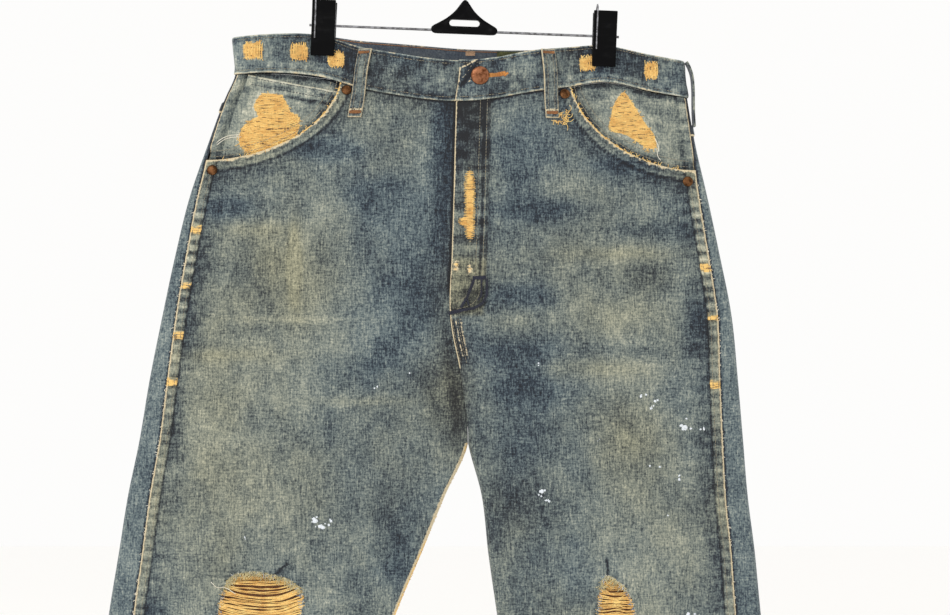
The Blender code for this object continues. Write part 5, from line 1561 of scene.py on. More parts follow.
# %% Threads across the rips
def crossing(outline, z):
    """x of an outline's two edges at height z."""
    following = np.roll(outline, -1, axis=0)
    found = [xa + (xb - xa) * (z - za) / (zb - za)
             for (xa, za), (xb, zb) in zip(outline, following) if min(za, zb) <= z < max(za, zb)]
    return (min(found), max(found)) if found else None


THREAD_PITCH, BEHIND_PITCH = 0.85, 1.5


def rip_threads(side):
    """Weft threads from edge to edge of a rip, some of them broken, and a shaded layer behind them."""
    rip, chance = RIPS[side], np.random.default_rng(5 + side)
    outline = closed_curve(rip.outline, 160)
    paths, widths = [], []
    for z in np.arange(rip.top + 1.5, rip.bottom - 3, -THREAD_PITCH):
        ends = crossing(outline, z + chance.uniform(-0.4, 0.4))
        if ends is None:
            continue
        left, right = ends[0] - 2.0, ends[1] + 2.0
        whole = chance.random() > 0.22
        if not whole:
            cut_at = left + (right - left) * chance.uniform(0.25, 0.75)
            left, right = (left, cut_at) if chance.random() < 0.5 else (cut_at, right)
        t = np.linspace(0, 1, 26)
        arch = 4 * t * (1 - t) if whole else (t if left < ends[0] else 1 - t) ** 1.5
        span = (right - left) / 80
        slack = 0.25 + 0.75 * step((rip.top - z) / 16)
        sag = arch * span * (rip.sag + chance.uniform(-2.6, 3.6)) * slack
        sag += 0 if whole else arch * chance.uniform(-2, 7)
        size = 0.5 * chance.uniform(0.4, 1.4)
        wave = size * lumps(t * 60, 0 * t, chance.uniform(5, 12), int(chance.integers(900)))
        wave += 1.5 * slack * lumps(left + (right - left) * t, z + 0 * t, 14, 63 + side)
        x = left + (right - left) * t + wave * 0.6
        out = 0.6 - arch * chance.uniform(0.2, 1.6) + 0.5 * lumps(t * 50, 0 * t, 9, int(chance.integers(900)))
        paths.append(flat_path(x, z - sag + wave, np.maximum(out, -1.9)))
        widths.append(chance.uniform(0.6, 1.1))
    name = SIDE_NAME[side] + "_rip_threads"
    strands(name + "_cloth", laid(FRONT, side, paths), widths, WEFT_PAINT, replaces=(name,))
    behind, t = [], np.linspace(0, 1, 14)
    for z in np.arange(rip.top, rip.bottom - 6, -BEHIND_PITCH):
        ends = crossing(outline, z)
        if ends is not None:
            arch = 4 * t * (1 - t) * (ends[1] - ends[0]) / 80
            behind.append(flat_path(ends[0] + (ends[1] - ends[0]) * t, z - arch * rip.sag, -2.6 + 0 * t))
    strands(name + "_behind", laid(FRONT, side, behind), 2.0, SHADED_PAINT)


for side in SIDES:
    rip_threads(side)

# %% Frayed ends
def run_along(line):
    return np.array([0, *np.cumsum(np.linalg.norm(np.diff(line, axis=0), axis=1))])


def frayed(line, towards, count, length, lift, seed, spread_by=0.7, curl=0.6):
    """Short loose ends from places along a line, roughly one way, each a little curled."""
    chance = np.random.default_rng(seed)
    line = np.asarray(line, float)
    run = run_along(line)
    paths = []
    for _ in range(count):
        at = chance.uniform(0, run[-1])
        x, z = (float(np.interp(at, run, line[:, k])) for k in range(2))
        heading = math.atan2(towards[1], towards[0]) + chance.normal(0, spread_by)
        bend, size = chance.normal(0, curl), length * chance.uniform(0.4, 1.25)
        t = np.linspace(0, 1, 7)
        angle = heading + bend * t * 2
        xs = x + np.concatenate([[0], np.cumsum(np.cos(angle[1:]) * size / 6)])
        zs = z + np.concatenate([[0], np.cumsum(np.sin(angle[1:]) * size / 6)])
        rise = np.asarray(lift, float) + t * chance.uniform(-0.2, 0.9)
        paths.append(flat_path(xs, zs, rise))
    return paths


def rip_frays(side, outline):
    """The blue and white fringe round a rip."""
    outline = np.concatenate([outline, outline[:1]])
    middle = outline.mean(axis=0)
    paths = []
    for k in range(0, len(outline) - 1, 2):
        part = outline[k:k + 3]
        inward = middle - part.mean(axis=0)
        paths += frayed(part, inward, 5, 4.0, 0.7, 300 + k + side, 0.55)
        paths += frayed(part, -inward, 1, 2.6, 1.35, 600 + k + side, 0.9)
    return laid(FRONT, side, paths)


for side in SIDES:
    outline = closed_curve(RIPS[side].outline, 120)
    paths = rip_frays(side, outline)
    strands(SIDE_NAME[side] + "_rip_blue_fringe", paths[::2], 0.34, BLUE_PAINT)
    strands(SIDE_NAME[side] + "_rip_pale_fringe", paths[1::4], 0.36, PALE_PAINT)
    top = outline[outline[:, 1] > RIPS[side].top - (16 if side == RIGHT else 9)]
    top = top[np.argsort(top[:, 0])]
    count = 5 if side == RIGHT else 3
    hanging = frayed(top + (0, 1.5), (0.1, -1), count * len(top), 8.0, 1.0, 800 + side, 0.32, 0.45)
    strands(SIDE_NAME[side] + "_rip_olive_fringe", laid(FRONT, side, hanging), 0.42, OLIVE_PAINT)

# %% Threads across the worn places
def across_patch(outline, lift, pitch, seed, sag=1.2, jitter=1.6):
    """Wavy weft threads that cross a worn place from edge to edge."""
    chance = np.random.default_rng(seed)
    paths = []
    for z in np.arange(outline[:, 1].max() - 0.6, outline[:, 1].min() + 0.4, -pitch):
        ends = crossing(outline, z)
        if ends is None or ends[1] - ends[0] < 1.2:
            continue
        left, right = ends[0] - chance.uniform(0, jitter), ends[1] + chance.uniform(0, jitter)
        t = np.linspace(0, 1, max(6, int((right - left) / 2.2)))
        arch = 4 * t * (1 - t) * (right - left) / 40
        low = z - arch * (sag + chance.uniform(-1.4, 2.2))
        low += 0.55 * lumps(t * (right - left), 0 * t, 7, int(chance.integers(900)))
        rise = lift + 0.25 * arch + chance.uniform(0, 0.35)
        paths.append(flat_path(left + (right - left) * t, low, rise))
    return paths


def rectangle(x, z, half_width, half_height):
    turns = turns_of(40)
    shape = np.stack([np.cos(turns), np.sin(turns)], axis=1)
    return (x, z) + (half_width, half_height) * np.copysign(np.abs(shape) ** 0.5, shape)


worn_paths = []
for x, z, half_width, half_height in BAND_WORN:
    outline = rectangle(x, z, half_width * 0.95, half_height * 0.85)
    upright = across_patch(outline[:, ::-1], WAISTBAND + 0.1, 1.05, int(900 + x), 0.0, 2.6)
    worn_paths += [path[:, [1, 0, 2]] for path in upright]
    reach, rise = half_width * 0.85, half_height * 0.8
    for way in (1, -1):
        line = [(x - reach, z + way * rise), (x + reach, z + way * rise)]
        worn_paths += frayed(line, (0, way), 14, 3.4, WAISTBAND + 0.15, int(700 + x + way), 0.35, 0.3)
strands("waistband_worn_threads", laid(FRONT, LEFT, worn_paths), 0.62, WEFT_PAINT)

for side in SIDES:
    outline = closed_curve(BELLS[side], 90)
    lift = COIN_DEPTH + 1.0 if side == RIGHT else FACING_DEPTH[side] + CLOTH
    paths = across_patch(outline, lift, 1.15, 40 + side, 2.4, 1.2)
    paths += frayed(np.concatenate([outline, outline[:1]]), (0, -1), 60, 4.5, lift + 0.1, 50 + side, 1.4)
    strands(SIDE_NAME[side] + "_facing_threads", laid(FRONT, side, paths), 0.62, WEFT_PAINT)

fly_paths = []
for off_x, mid_z, half_width, half_height in FLY_BARE:
    outline = rectangle(off_x, mid_z, half_width * 1.15, half_height * 0.92)
    fly_paths += across_patch(outline, CLOTH + FLY_RISE + 0.05, 1.2, int(mid_z + 1200), 0.1, 1.4)
strands("fly_worn_threads", laid(FRONT, LEFT, fly_paths), 0.5, WEFT_PAINT)

# %% Loose threads
def scoop_frays(side):
    """Ends that stick out along a pocket's worn edge."""
    count = 70 if side == LEFT else 36
    ends = frayed(scoop_line(side)[4:], (-side * 0.4, 1), count, 3.0, CLOTH + 0.3, 70 + side, 1.1, 1.0)
    return laid(FRONT, side, ends)


for side in SIDES:
    strands(SIDE_NAME[side] + "_scoop_frays", scoop_frays(side), 0.42, WEFT_PAINT)

LOOSE = (
    (RIGHT, 0.6, ((-234, -196), (-227, -191), (-219, -188.5), (-211, -188))),
    (RIGHT, 0.6, ((-233, -197.5), (-226, -192.6), (-219, -190.4), (-210, -190))),
    (LEFT, 1.9, ((173, -192), (176, -200), (175, -207), (178, -212))),
    (RIGHT, 1.5, ((-237, -601), (-231, -606), (-224, -606), (-214, -612))),
)
loose = []
for side, lift, line in LOOSE:
    x, z = open_curve(line, 14).T
    loose += laid(FRONT, side, [flat_path(x, z, lift)])
strands("loose_threads", loose, 0.6, PALE_PAINT)

curl = frayed([(81, -172), (92, -166), (88, -178)], (0.3, -1), 26, 8.0, 3.2, 77, 1.2, 1.4)
curl += frayed([(74, -175), (86, -176)], (0, -1), 12, 4.0, 3.2, 78, 0.5, 0.8)
strands("loop_frays", laid(FRONT, LEFT, curl), 0.5, WEFT_PAINT)

for side in SIDES:
    z = np.linspace(-232, -640, 200)
    line = line_of(seam_x(side, z, 0.4), z)
    nubs = frayed(line, (side, 0.1), 90, 2.2, CLOTH + 0.5, 90 + side, 0.7, 1.0)
    strands(SIDE_NAME[side] + "_outseam_frays", laid(FRONT, side, nubs), 0.42, PALE_PAINT)

inseam_paths = []
for z in np.arange(-478, -640, -1.4):
    x = float(centre_x(RIGHT, z))
    big = 3.6 if abs(z + 541) < 4 or abs(z + 569) < 4 else 1.8
    inseam_paths += frayed([(x - 1.5, z), (x - 1.4, z - 0.8)], (1, -0.3), 1, big, 0.6, int(-z * 10), 0.8, 1.0)
strands("inseam_frays", laid(FRONT, RIGHT, inseam_paths), 0.42, WEFT_PAINT)

# %% [markdown]
# ## Stitches
#
# Each stitch is one short thread that dips into the cloth at both ends. Rows run along the scoops,
# the outseams, the fly, the waistband, the pockets and the hems, and bar tacks are stitches packed
# side by side.

# %% Rows of stitches
def stitched(line, lift, pitch=3.0, share=0.74):
    """Flat paths of the stitches along a line of x and z, each arched a little over the cloth."""
    line = np.asarray(line, float)
    run = run_along(line)
    starts = np.arange(0, run[-1] - pitch, pitch)
    paths = []
    for start in starts:
        at = start + np.array([0.0, 0.25, 0.75, 1.0]) * pitch * share
        x, z = (np.interp(at, run, line[:, k]) for k in range(2))
        height = np.interp(at, run, np.broadcast_to(lift, len(line)))
        paths.append(flat_path(x, z, height + np.array([-0.22, 0.1, 0.1, -0.22])))
    return paths


def tacked(start, end, width, lift, pitch=0.75):
    """A bar tack: threads across a short line, packed side by side."""
    start, end = np.asarray(start, float), np.asarray(end, float)
    run = end - start
    length = np.linalg.norm(run)
    normal = np.array([-run[1], run[0]]) / length
    paths = []
    for at in np.arange(0, length, pitch):
        middle = start + run * at / length
        t = np.array([-0.5, -0.35, 0.35, 0.5])
        x, z = (middle[k] + normal[k] * width * t for k in range(2))
        height = lift(middle[0]) if callable(lift) else lift
        paths.append(flat_path(x, z, height + np.array([-0.25, 0.22, 0.22, -0.25])))
    return paths


def offset_line(line, by):
    line = np.asarray(line, float)
    run = np.gradient(line, axis=0)
    return line + unit(np.stack([-run[:, 1], run[:, 0]], axis=1)) * by

# %% Stitches on the fronts
def seam_stitches(side):
    """Two rows down the felled outseam, and two round the scoop."""
    paths = []
    z = np.linspace(POCKETS[side].foot_z - 9, HEM_Z + HEM_HEIGHT + 2, 500)
    for off in (2.0, 7.4):
        x = seam_x(side, z, off)
        paths += stitched(line_of(x, z), CLOTH + FELL_RISE + 0.03)
    scoop = scoop_line(side, 90)[3:-2]
    for off in (3.0, 8.2):
        paths += stitched(offset_line(scoop, -side * off), CLOTH + 0.42)
    return paths


def hem_stitches(face, side):
    z = HEM_Z + HEM_HEIGHT - 2.0
    start = seam_x(side, z, 2) if face == FRONT else side_x(side, z) - side * 2
    x = np.linspace(start, inner_x(side, z), 60)
    return stitched(line_of(x, z), CLOTH + HEM_RISE + 0.05)


def fly_stitches():
    """The fly's curved double row, and the double row down the crotch seam."""
    paths = []
    for off in (1.6, 8.0):
        z = np.linspace(-141, -316, 60)
        x = centre_x(LEFT, z) + FLY_WIDTH - off - 0.4
        bend = open_curve(((x[-1], z[-1]), (x[-1] - 1.5, -333 + off), (x[-1] - 9, -346 + off),
                           (float(centre_x(LEFT, -352.0)) + 3, -352 + off)), 30)
        paths += stitched(np.concatenate([line_of(x, z)[:-1], bend]), CLOTH + FLY_RISE + 0.05)
    for off in (2.2, 7.2):
        z = np.linspace(-358, -402, 30)
        paths += stitched(line_of(centre_x(LEFT, z) + off, z), CLOTH + FELL_RISE + 0.05)
    return paths


for side in SIDES:
    rows = laid(FRONT, side, seam_stitches(side)) + laid(FRONT, side, hem_stitches(FRONT, side))
    strands(SIDE_NAME[side] + "_front_stitches", rows, 0.5, DULL_PAINT)
strands("fly_stitches", laid(FRONT, LEFT, fly_stitches()), 0.5, DULL_PAINT)

# The dark tacks on the fly: each one's start, end and width.
FLY_TACKS = (
    ((4.5, -320.8), (17.2, -320.4), 3.2), ((12.6, -322), (12.2, -337), 1.5),
    ((17.6, -322), (17.4, -337), 1.9), ((17.2, -337), (13.5, -344), 1.9),
    ((12.2, -337), (9.0, -342), 1.4), ((13.5, -344), (6.0, -348.4), 2.2),
    ((6.0, -348.4), (-6, -350.4), 2.4), ((-6, -350.4), (-17.4, -353.2), 3.0),
    ((5.6, -322), (-0.5, -338), 2.4), ((-0.5, -338), (-6.5, -348), 2.2), ((-1.0, -340), (1.2, -347), 1.5),
)
paths = []
for start, end, width in FLY_TACKS:
    paths += tacked(start, end, width, CLOTH + FLY_RISE + 0.15)
strands("fly_bar_tacks", laid(FRONT, LEFT, paths), 0.75, NAVY_PAINT)

# %% Stitches on the waistband, the coin pocket and the belt loops
def band_line(face, share, start, end):
    """A line along the waistband at a share of its height."""
    x = np.linspace(start, end, 300)
    top = waist_top(face, x)
    return line_of(x, top - waist("band", x) * share)


def on_band(x):
    """Height of the waistband's outer face: it stands higher where it laps over its own end."""
    start = float(centre_x(LEFT, -134.5))
    lapped = (x > start) * (1 - step((x - start - LAP - 0.5) / 11))
    return WAISTBAND + 0.02 + (WAISTBAND + LAP_GAP) * lapped


paths = []
for share in (0.085, 0.915):
    for start, end in ((-213, -14), (-8, 198)):
        line = band_line(FRONT, share, start, end)
        paths += stitched(line, on_band(line[:, 0]))
front_rows = laid(FRONT, LEFT, paths)
paths = []
for share in (0.085, 0.915):
    paths += stitched(band_line(BACK, share, -213, 198), WAISTBAND + 0.02)
strands("waistband_stitches", front_rows + laid(BACK, LEFT, paths), 0.5, DULL_PAINT)

paths = stitched(band_line(BACK, 0.05, -205, 190), -0.12, 3.4, 0.9)
strands("waistband_inner_chain_stitch", laid(BACK, LEFT, paths), 0.75, RUST_PAINT)
TAN_PAINT = thread_paint("tan sewing thread", rgb(150, 116, 88), rgb(214, 182, 150))
under_top = float(waist("back_top", 2.0)) - 3.6
paths = tacked((-2.0, under_top), (6.4, under_top), 4.2, -0.3, 0.55)
strands("back_loop_tack", laid(BACK, LEFT, paths), 0.6, TAN_PAINT)

(x0, z0), (x1, z1) = COIN_TOP
paths = []
for off in (2.4, 8.6):
    line = np.array([(x0 + 8, z0 - 1.5 - off), (x1 - 3, z1 + 0.6 - off)])
    paths += stitched(line, COIN_DEPTH + 1.42)
strands("coin_pocket_stitches", laid(FRONT, RIGHT, paths), 0.5, NAVY_PAINT)

ORANGE_PAINT = thread_paint("orange sewing thread", rgb(160, 92, 34), rgb(226, 158, 76))


def on_buttonhole(x):
    """Height of the buttonhole's threads, clear of the lap's turned edge."""
    return on_band(x) + 0.45


paths = tacked((18.5, -134.8), (34.5, -132.2), 3.8, on_buttonhole, 0.7)
paths += tacked((33.5, -134.4), (37.0, -131.6), 1.8, on_buttonhole, 0.6)
strands("buttonhole_stitches", laid(FRONT, LEFT, paths), 0.6, ORANGE_PAINT)


def loop_threads(loop):
    """A belt loop's two long rows, and the bar tacks at its top and foot."""
    top = loop_top(loop)
    z = np.linspace(top - 5, top - loop.length + 4, 60)
    lift = loop_lift(loop, z) + LOOP_CLOTH + 0.1
    rows, tacks = [], []
    for off in (-3.0, 3.0):
        rows += stitched(line_of(loop_middle(loop, z) + off, z), lift)
    for z in (top - 3.5, top - loop.length + 4.5):
        x = loop_middle(loop, z)
        tacks += tacked((x - 5, z), (x + 5, z), 2.6, float(loop_lift(loop, z)) + LOOP_CLOTH + 0.1, 0.7)
    side = RIGHT if loop.top_x < 0 else LEFT
    return laid(loop.face, side, rows), laid(loop.face, side, tacks)


rows, tacks = [], []
for loop in LOOPS:
    made = loop_threads(loop)
    rows, tacks = rows + made[0], tacks + made[1]
strands("belt_loop_stitches", rows, 0.5, DULL_PAINT)
strands("belt_loop_bar_tacks", tacks, 0.62, RUST_PAINT)

# %% Stitches on the back
def back_stitches():
    """Double rows round the pockets, along the yoke seam and down the centre back."""
    paths = []
    for pocket in BACK_POCKETS.values():
        corners = np.array([pocket.top_inner, pocket.foot_inner, pocket.foot_outer, pocket.top_outer], float)
        point = (corners[1] + corners[2]) / 2 + (0, -pocket.point_drop)
        outline = np.array([*corners[:2], point, *corners[2:]])
        inward = sum(corners) / 4 - outline
        for off in (2.4, 7.6):
            ring = outline + inward / np.abs(inward).max(axis=1, keepdims=True) * off
            line = np.concatenate([np.linspace(a, b, 60) for a, b in zip(ring[:-1], ring[1:])])
            paths += stitched(line, 2 * CLOTH + 0.68)
        a, b = (c * 0.88 + d * 0.12 for c, d in ((corners[0], corners[1]), (corners[3], corners[2])))
        paths += stitched(np.linspace(a, b, 60)[2:-2], 2 * CLOTH + 1.38)
    for off in (2.2, 7.2):
        x = np.linspace(-208, 190, 400)
        x = x[np.abs(x - centre_x(RIGHT, -215.0)) > 1]
        paths += stitched(line_of(x, yoke_foot(x) + off), CLOTH + FELL_RISE + 0.03)
        z = np.linspace(-256, CROTCH_Z + 24, 90)
        paths += stitched(line_of(centre_x(LEFT, z) + off, z), CLOTH + FELL_RISE + 0.03)
        z = np.linspace(-150, -206, 30)
        paths += stitched(line_of(centre_x(LEFT, z) + off, z), CLOTH + FELL_RISE + 0.03)
    return paths


back_rows = laid(BACK, LEFT, back_stitches())
for side in SIDES:
    back_rows += laid(BACK, side, hem_stitches(BACK, side))
strands("back_stitches", back_rows, 0.5, DULL_PAINT)

# %% [markdown]
# ## Metal, the label strip and paint specks
#
# The button and the four rivets are turned shapes in worn copper. The white specks are dried paint,
# each a thin ragged flake on the cloth.

# %% The label strip
def label_strip():
    """The bare woven strip sewn inside the back waistband."""
    marks = np.linspace(27, 79, 40)
    shares = np.linspace(0.03, 0.72, 20)[:, None]
    x = np.repeat(marks[None, :], 20, axis=0)
    z = waist("back_top", x) - waist("band", x) * shares
    paint = Paint("olive tape", roughness=0.95, sheen=0.1)
    warp = paint.noise(1300, (1, 1, 0.2), 2)
    weft = paint.noise(1100, (0.2, 1, 1), 2)
    colour = paint.mix((warp * 0.5 + weft * 0.5).rise(0.3, 0.7), rgb(44, 48, 26), rgb(104, 104, 62))
    paint.set("Base Color", colour)
    paint.bump(warp + weft, 0.0003)
    made = shell("label_strip", surface(BACK, LEFT, x, z), -1.3, -0.7, (0, BACK, 0), {})
    made.data.materials[0] = paint.material
    area = min(area_of(made) / 2, 0.053 * 0.026)


label_strip()

# %% Button and rivets
def metal(name, low, high, roughness):
    """Metal with a cloudy, worn finish."""
    paint = Paint(name, roughness=roughness, metallic=1.0)
    cloudy = paint.noise(260, (1, 1, 1), 4, 0.6)
    paint.set("Base Color", paint.mix(cloudy.rise(0.35, 0.65), low, high))
    paint.set("Roughness", roughness + (cloudy - 0.5) * 0.35)
    paint.bump(paint.noise(900, (1, 1, 1), 3), 0.00012)
    return paint.material


COPPER = metal("aged copper", rgb(88, 50, 30), rgb(158, 106, 76), 0.34)
DARK_COPPER = metal("dark copper", rgb(62, 40, 24), rgb(122, 84, 54), 0.45)
STEEL = metal("steel wire", rgb(96, 95, 96), rgb(158, 158, 162), 0.3)
BUTTON_X, BUTTON_Z, BUTTON_RADIUS, RIVET_RADIUS = 11.2, -134.5, 8.6, 4.8
RIVETS = ((-112.6, -147.5), (89.4, -151.0), (-236.5, -221.0), (203.0, -231.5))


def turned(name, profile, place, direction, material, slot, node, count=56):
    """A round piece from its radii and heights along a direction."""
    direction = unit(np.asarray(direction, float))
    sideways = unit(np.cross(direction, (0, 0, 1)))
    upward = np.cross(sideways, direction)
    profile = np.array(profile, float)
    turns = turns_of(count)
    around = np.cos(turns)[:, None] * sideways + np.sin(turns)[:, None] * upward
    radius = np.maximum(profile[:, 0], 0.02)[:, None, None]
    rings = place + radius * around + profile[:, 1][:, None, None] * direction
    faces = ring_faces(len(profile), count)
    finished(name, rings.reshape(-1, 3), faces, material, 40, replaces=(node,))


low, head = WAISTBAND + SEAM_GAP, 2 * WAISTBAND + LAP_GAP + SEAM_GAP
dome = (
    (0, 2.95), (1.8, 2.93), (3.6, 2.85), (5.2, 2.7), (6.4, 2.45), (7.3, 2.1), (8.0, 1.65), (8.4, 1.2),
    (8.55, 0.8), (8.4, 0.35), (8.0, 0.05), (3.0, 0),
)
profile = [(radius, head + high) for radius, high in dome] + [(3.0, low), (0, low)]
place = surface(FRONT, LEFT, BUTTON_X, BUTTON_Z)
turned("button_finish", profile, place, (0, FRONT, 0), COPPER, "aged_copper", "button")
cap = (
    (0, 1.5), (1.6, 1.46), (3.0, 1.3), (3.9, 1.05), (4.4, 0.8), (4.7, 0.5), (RIVET_RADIUS, 0.25),
    (RIVET_RADIUS, 0), (0, 0),
)
for number, (x, z) in enumerate(RIVETS, 1):
    side = RIGHT if x < 0 else LEFT
    base = CLOTH + (FELL_RISE if number > 2 else 0.45) + 0.55
    profile = [(radius, base + high) for radius, high in cap]
    direction, place = outward(FRONT, side, np.array(x), np.array(z)), surface(FRONT, side, x, z)
    name = f"rivet_{number}"
    turned(name + "_finish", profile, place, direction, DARK_COPPER, "aged_copper", name, 40)
print("button:", 2 * BUTTON_RADIUS, "mm across, rivets:", 2 * RIVET_RADIUS, "mm")

# %% Paint specks
# Clusters of flakes: x, z, size and count.
SPECKS = (
    (69, -519, 3.2, 5), (73, -527, 2.6, 3), (-142, -544, 4.0, 7), (-134, -551, 3.0, 5),
    (-126, -545, 2.2, 3), (-47.5, -399, 5.0, 1), (-84.6, -422, 1.6, 2), (160, -427.5, 2.4, 4),
    (174, -434, 2.2, 3), (169, -438.6, 1.8, 3), (200, -457, 4.6, 8), (216, -460, 2.4, 3),
    (171, -496, 4.2, 2), (194, -503.8, 2.6, 3), (236, -564, 1.4, 3), (205, -631, 3.2, 3),
    (64, -400, 1.2, 2), (120, -470, 1.3, 2), (-205, -560, 1.2, 3), (185, -540, 1.1, 3),
)


def speck_flakes():
    chance = np.random.default_rng(12)
    vertices, faces, start = [], [], 0
    for x, z, size, count in SPECKS:
        for _ in range(count):
            cx, cz = x + chance.normal(0, size * 0.7), z + chance.normal(0, size * 0.7)
            big = chance.uniform(0.25, 0.8) * min(size, 3)
            turns = turns_of(12)
            radius = big * (0.55 + 0.45 * chance.random(12))
            fx, fz = cx + radius * np.cos(turns) * chance.uniform(0.6, 1.5), cz + radius * np.sin(turns)
            xs, zs = np.append(fx, cx), np.append(fz, cz)
            side = RIGHT if x < 0 else LEFT
            top = above(FRONT, side, xs, zs, CLOTH + np.append(0 * fx + 0.05, 0.28))
            vertices.append(np.concatenate([top, above(FRONT, side, fx, fz, CLOTH - 0.2)]))
            ring = np.arange(12)
            after = np.roll(ring, -1)
            even = ring[::2]
            faces.append(np.stack([even, (even + 1) % 12, (even + 2) % 12, 0 * even + 12], axis=1) + start)
            faces.append(np.stack([ring + 13, after + 13, after, ring], axis=1) + start)
            start += 25
    paint = Paint("dried white paint", roughness=0.6)
    paint.set("Base Color", paint.mix(paint.noise(700, (1, 1, 1), 3), rgb(190, 200, 208), rgb(250, 252, 255)))
    finished("paint_specks", np.concatenate(vertices), np.concatenate(faces), paint.material, 180)
    print("paint flakes:", start // 25)


speck_flakes()

# %% [markdown]
# ## The hanger
#
# The hook, the cross wire and the springs are steel wire. The head and the jaws are moulded plastic.

# %% Wires
HOOK_WIRE, HOOK_RADIUS = 3.2, 17.0
HEAD_TOP_Z, HEAD_HALF, HEAD_DEPTH = -62.5, 31.0, 5.0
BAR_WIRE, BAR_HALF, SPRING_WIRE = 2.4, 144.0, 1.6


def tipped(points):
    """Points of the hanger after it has tipped about its hook."""
    points = np.asarray(points, float)
    x, y, z = points[..., 0], points[..., 1], points[..., 2]
    return np.stack([x * math.cos(HANGER_TILT) + z * math.sin(HANGER_TILT), y,
                     z * math.cos(HANGER_TILT) - x * math.sin(HANGER_TILT)], axis=-1)


def wire(name, path, width, node, sides=16):
    """A round wire with rounded ends."""
    path = tipped(path)
    run = unit(np.gradient(path, axis=0))
    across = unit(np.cross(run, (0, 1, 0) if np.abs(run[:, 1]).max() < 0.5 else (1, 0, 0)))
    up = np.cross(across, run)
    turns = turns_of(sides)[None, :, None]
    radii = np.full(len(path), width / 2)
    path = np.concatenate([path[:1], path[:1], path, path[-1:], path[-1:]])
    across, up = (np.concatenate([v[:1], v[:1], v, v[-1:], v[-1:]]) for v in (across, up))
    radii = np.concatenate([[0.02, width * 0.42], radii, [width * 0.42, 0.02]])[:, None, None]
    ring = path[:, None] + radii * (np.cos(turns) * across[:, None] + np.sin(turns) * up[:, None])
    faces = ring_faces(len(path), sides)
    finished(name, ring.reshape(-1, 3), faces, STEEL, 50, replaces=(node,))


radius = HOOK_RADIUS + HOOK_WIRE / 2
turns = np.radians(np.linspace(198, -42, 80))
arc = np.stack([radius * np.cos(turns), 0 * turns, -HOOK_RADIUS + radius * np.sin(turns)], axis=1)
neck = open_curve([tuple(arc[-1]), (6.5, 0, -39), (1.2, 0, -47), (0, 0, -54), (0, 0, HEAD_TOP_Z + 0.3)], 36)
wire("hook_wire", np.concatenate([arc, neck[1:]]), HOOK_WIRE, "hook", 20)
for side in SIDES:
    name = SIDE_NAME[side]
    bar = np.linspace((side * (HEAD_HALF - 2.5), 0, BAR_Z), (side * BAR_HALF, 0, BAR_Z), 20)
    wire(name + "_cross_wire", bar, BAR_WIRE, name + "_bar")
    off = SPRING_WIRE / 2 + 0.3
    half = [(-7.6 - off, -104), (-7.6 - off, -91), (-8.2 - off, -80), (-9.6 - off, -69)]
    half += [(-9, -65.2), (-5, -62.6)]
    whole = [*half, (0, -61.8), *[(-y, z) for y, z in half[::-1]]]
    path = open_curve([(side * CLIP_X - 7.5, y, z) for y, z in whole], 70)
    wire(name + "_spring_wire", path, SPRING_WIRE, name + "_clip_spring")

# %% Moulded plastic
plastic = Paint("black plastic", roughness=0.38)
scuff = plastic.noise(60, (1, 1, 3), 4, 0.6)
fine = plastic.noise(1400, (1, 1, 1), 2)
plastic.shader.inputs["Specular IOR Level"].default_value = 0.08
plastic.set("Base Color", plastic.mix(scuff.rise(0.5, 0.75), rgb(2, 2, 3), rgb(14, 14, 15)))
plastic.set("Roughness", 0.34 + (scuff - 0.4) * 0.4)
plastic.bump(fine * 0.6 + scuff * 0.2, 0.0001)
for node in ("right_clip_front", "right_clip_back", "left_clip_front", "left_clip_back"):
    for slot in bpy.data.objects[node].material_slots:
        slot.material = plastic.material

# %% The hanger's head
HEAD_HALF_OUTLINE = (
    (0, -62.6), (2.2, -63.4), (4.6, -66.6), (9.4, -73.0), (16.6, -79.4), (25.4, -84.8), (29.6, -87.2),
    (30.9, -90.0), (29.4, -93.0), (26.0, -93.9), (14.0, -93.9),
)
SLOT_HALF, SLOT_RADIUS, SLOT_Z = 11.0, 3.1, -83.8
# From the outline to the slot: the share of the way, and the half thickness there.
HEAD_SECTION = (
    (0, 0.62), (0.03, 0.86), (0.09, 1.0), (0.3, 1.0), (0.34, 0.86), (0.7, 0.86), (0.8, 1.0), (0.95, 0.97),
    (1, 0.8),
)


def ray_ring(outline, middle, turns):
    """Where rays from the middle meet a closed outline, for each turn."""
    offs = outline - middle
    angles = np.arctan2(offs[:, 1], offs[:, 0])
    order = np.argsort(angles)
    angles, radii = angles[order], np.linalg.norm(offs, axis=1)[order]
    around = np.concatenate([angles - 2 * math.pi, angles, angles + 2 * math.pi])
    radius = np.interp(turns, around, np.tile(radii, 3))
    return middle + radius[:, None] * np.stack([np.cos(turns), np.sin(turns)], axis=1)


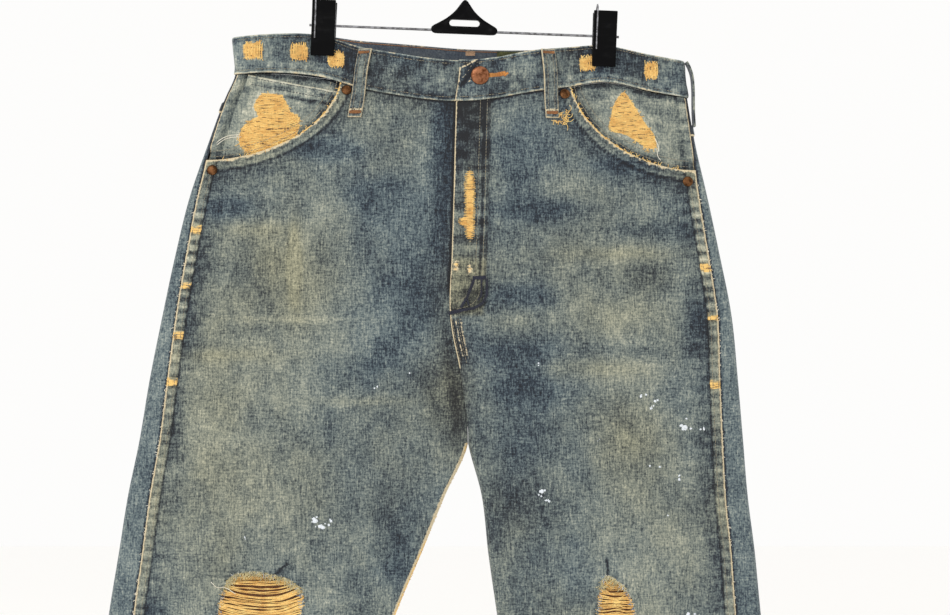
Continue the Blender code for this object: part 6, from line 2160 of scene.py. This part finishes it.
def hanger_head(count=144):
    """The moulded head: concave flanks, rounded ends and a rounded slot."""
    half = list(HEAD_HALF_OUTLINE)
    ring = half + [(0, -93.9)] + [(-x, z) for x, z in half[:0:-1]]
    outline = closed_curve(ring, 900)
    turns = turns_of(400, -math.pi)
    slot_x = SLOT_RADIUS * np.cos(turns) + SLOT_HALF * np.sign(np.cos(turns))
    slot = np.stack([slot_x, SLOT_Z + SLOT_RADIUS * np.sin(turns)], axis=1)
    straight = np.linspace(-SLOT_HALF, SLOT_HALF, 60)
    long_slot = np.array([*slot, *[(x, SLOT_Z + s * SLOT_RADIUS) for x in straight for s in (-1, 1)]])
    middle = np.array([0, SLOT_Z])
    turns = turns_of(count, -math.pi)
    outer, inner = ray_ring(outline, middle, turns), ray_ring(long_slot, middle, turns)
    rings = []
    for share, y in HEAD_SECTION:
        flat = outer * (1 - share) + inner * share
        rings.append(np.stack([flat[:, 0], 0 * flat[:, 0] - y * HEAD_DEPTH / 2, flat[:, 1]], axis=1))
    rings = rings + [ring * (1, -1, 1) for ring in rings[::-1]]
    points = tipped(np.stack(rings))
    at = np.arange(len(rings) * count).reshape(len(rings), count)
    below, after = np.roll(at, -1, axis=0), np.roll(at, -1, axis=1)
    faces = np.stack([at, after, np.roll(below, -1, axis=1), below], axis=-1).reshape(-1, 4)
    vertices = points.reshape(-1, 3)
    head = ("hanger_head",)
    finished("hanger_head_moulded", vertices, faces, plastic.material, 50, replaces=head)


hanger_head()

# %% [markdown]
# ## Floor and light
#
# A pale floor below the hems, a white world and two soft lamps: a large one from the upper left in
# front, and a weaker one behind.

# %% Stage
def lamp(name, place, aim, size, power):
    """A square soft lamp that shines towards a point."""
    data = bpy.data.lights.new(name, "AREA")
    data.shape, data.size, data.energy = "SQUARE", size, power
    obj = bpy.data.objects.new(name, data)
    obj.location = place
    obj.rotation_euler = (Vector(aim) - Vector(place)).to_track_quat("-Z", "Y").to_euler()
    bpy.context.scene.collection.objects.link(obj)


floor_mesh = bpy.data.meshes.new("floor")
floor_mesh.from_pydata([(-6, -6, -1.31), (6, -6, -1.31), (6, 6, -1.31), (-6, 6, -1.31)], [], [(0, 1, 2, 3)])
floor_paint = Paint("pale floor", roughness=0.9)
floor_paint.set("Base Color", rgb(254, 253, 251))
floor_mesh.materials.append(floor_paint.material)
floor = bpy.data.objects.new("floor", floor_mesh)
bpy.context.scene.collection.objects.link(floor)
floor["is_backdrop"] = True
world = bpy.data.worlds.new("studio")
bpy.context.scene.world = world
world.use_nodes = True
world.node_tree.nodes["Background"].inputs["Color"].default_value = (1.0, 0.995, 0.985, 1.0)
world.node_tree.nodes["Background"].inputs["Strength"].default_value = 0.985
lamp("key", (-1.5, -2.2, 0.9), (0, 0, -0.4), 1.4, 22)
lamp("behind", (1.2, 2.4, 0.8), (0, 0, -0.5), 1.4, 16)
bpy.context.scene.view_settings.view_transform = "Standard"

# %% Finish
low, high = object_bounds()
print("model's box, mm:", [round(1000 * (b - a)) for a, b in zip(low, high)])
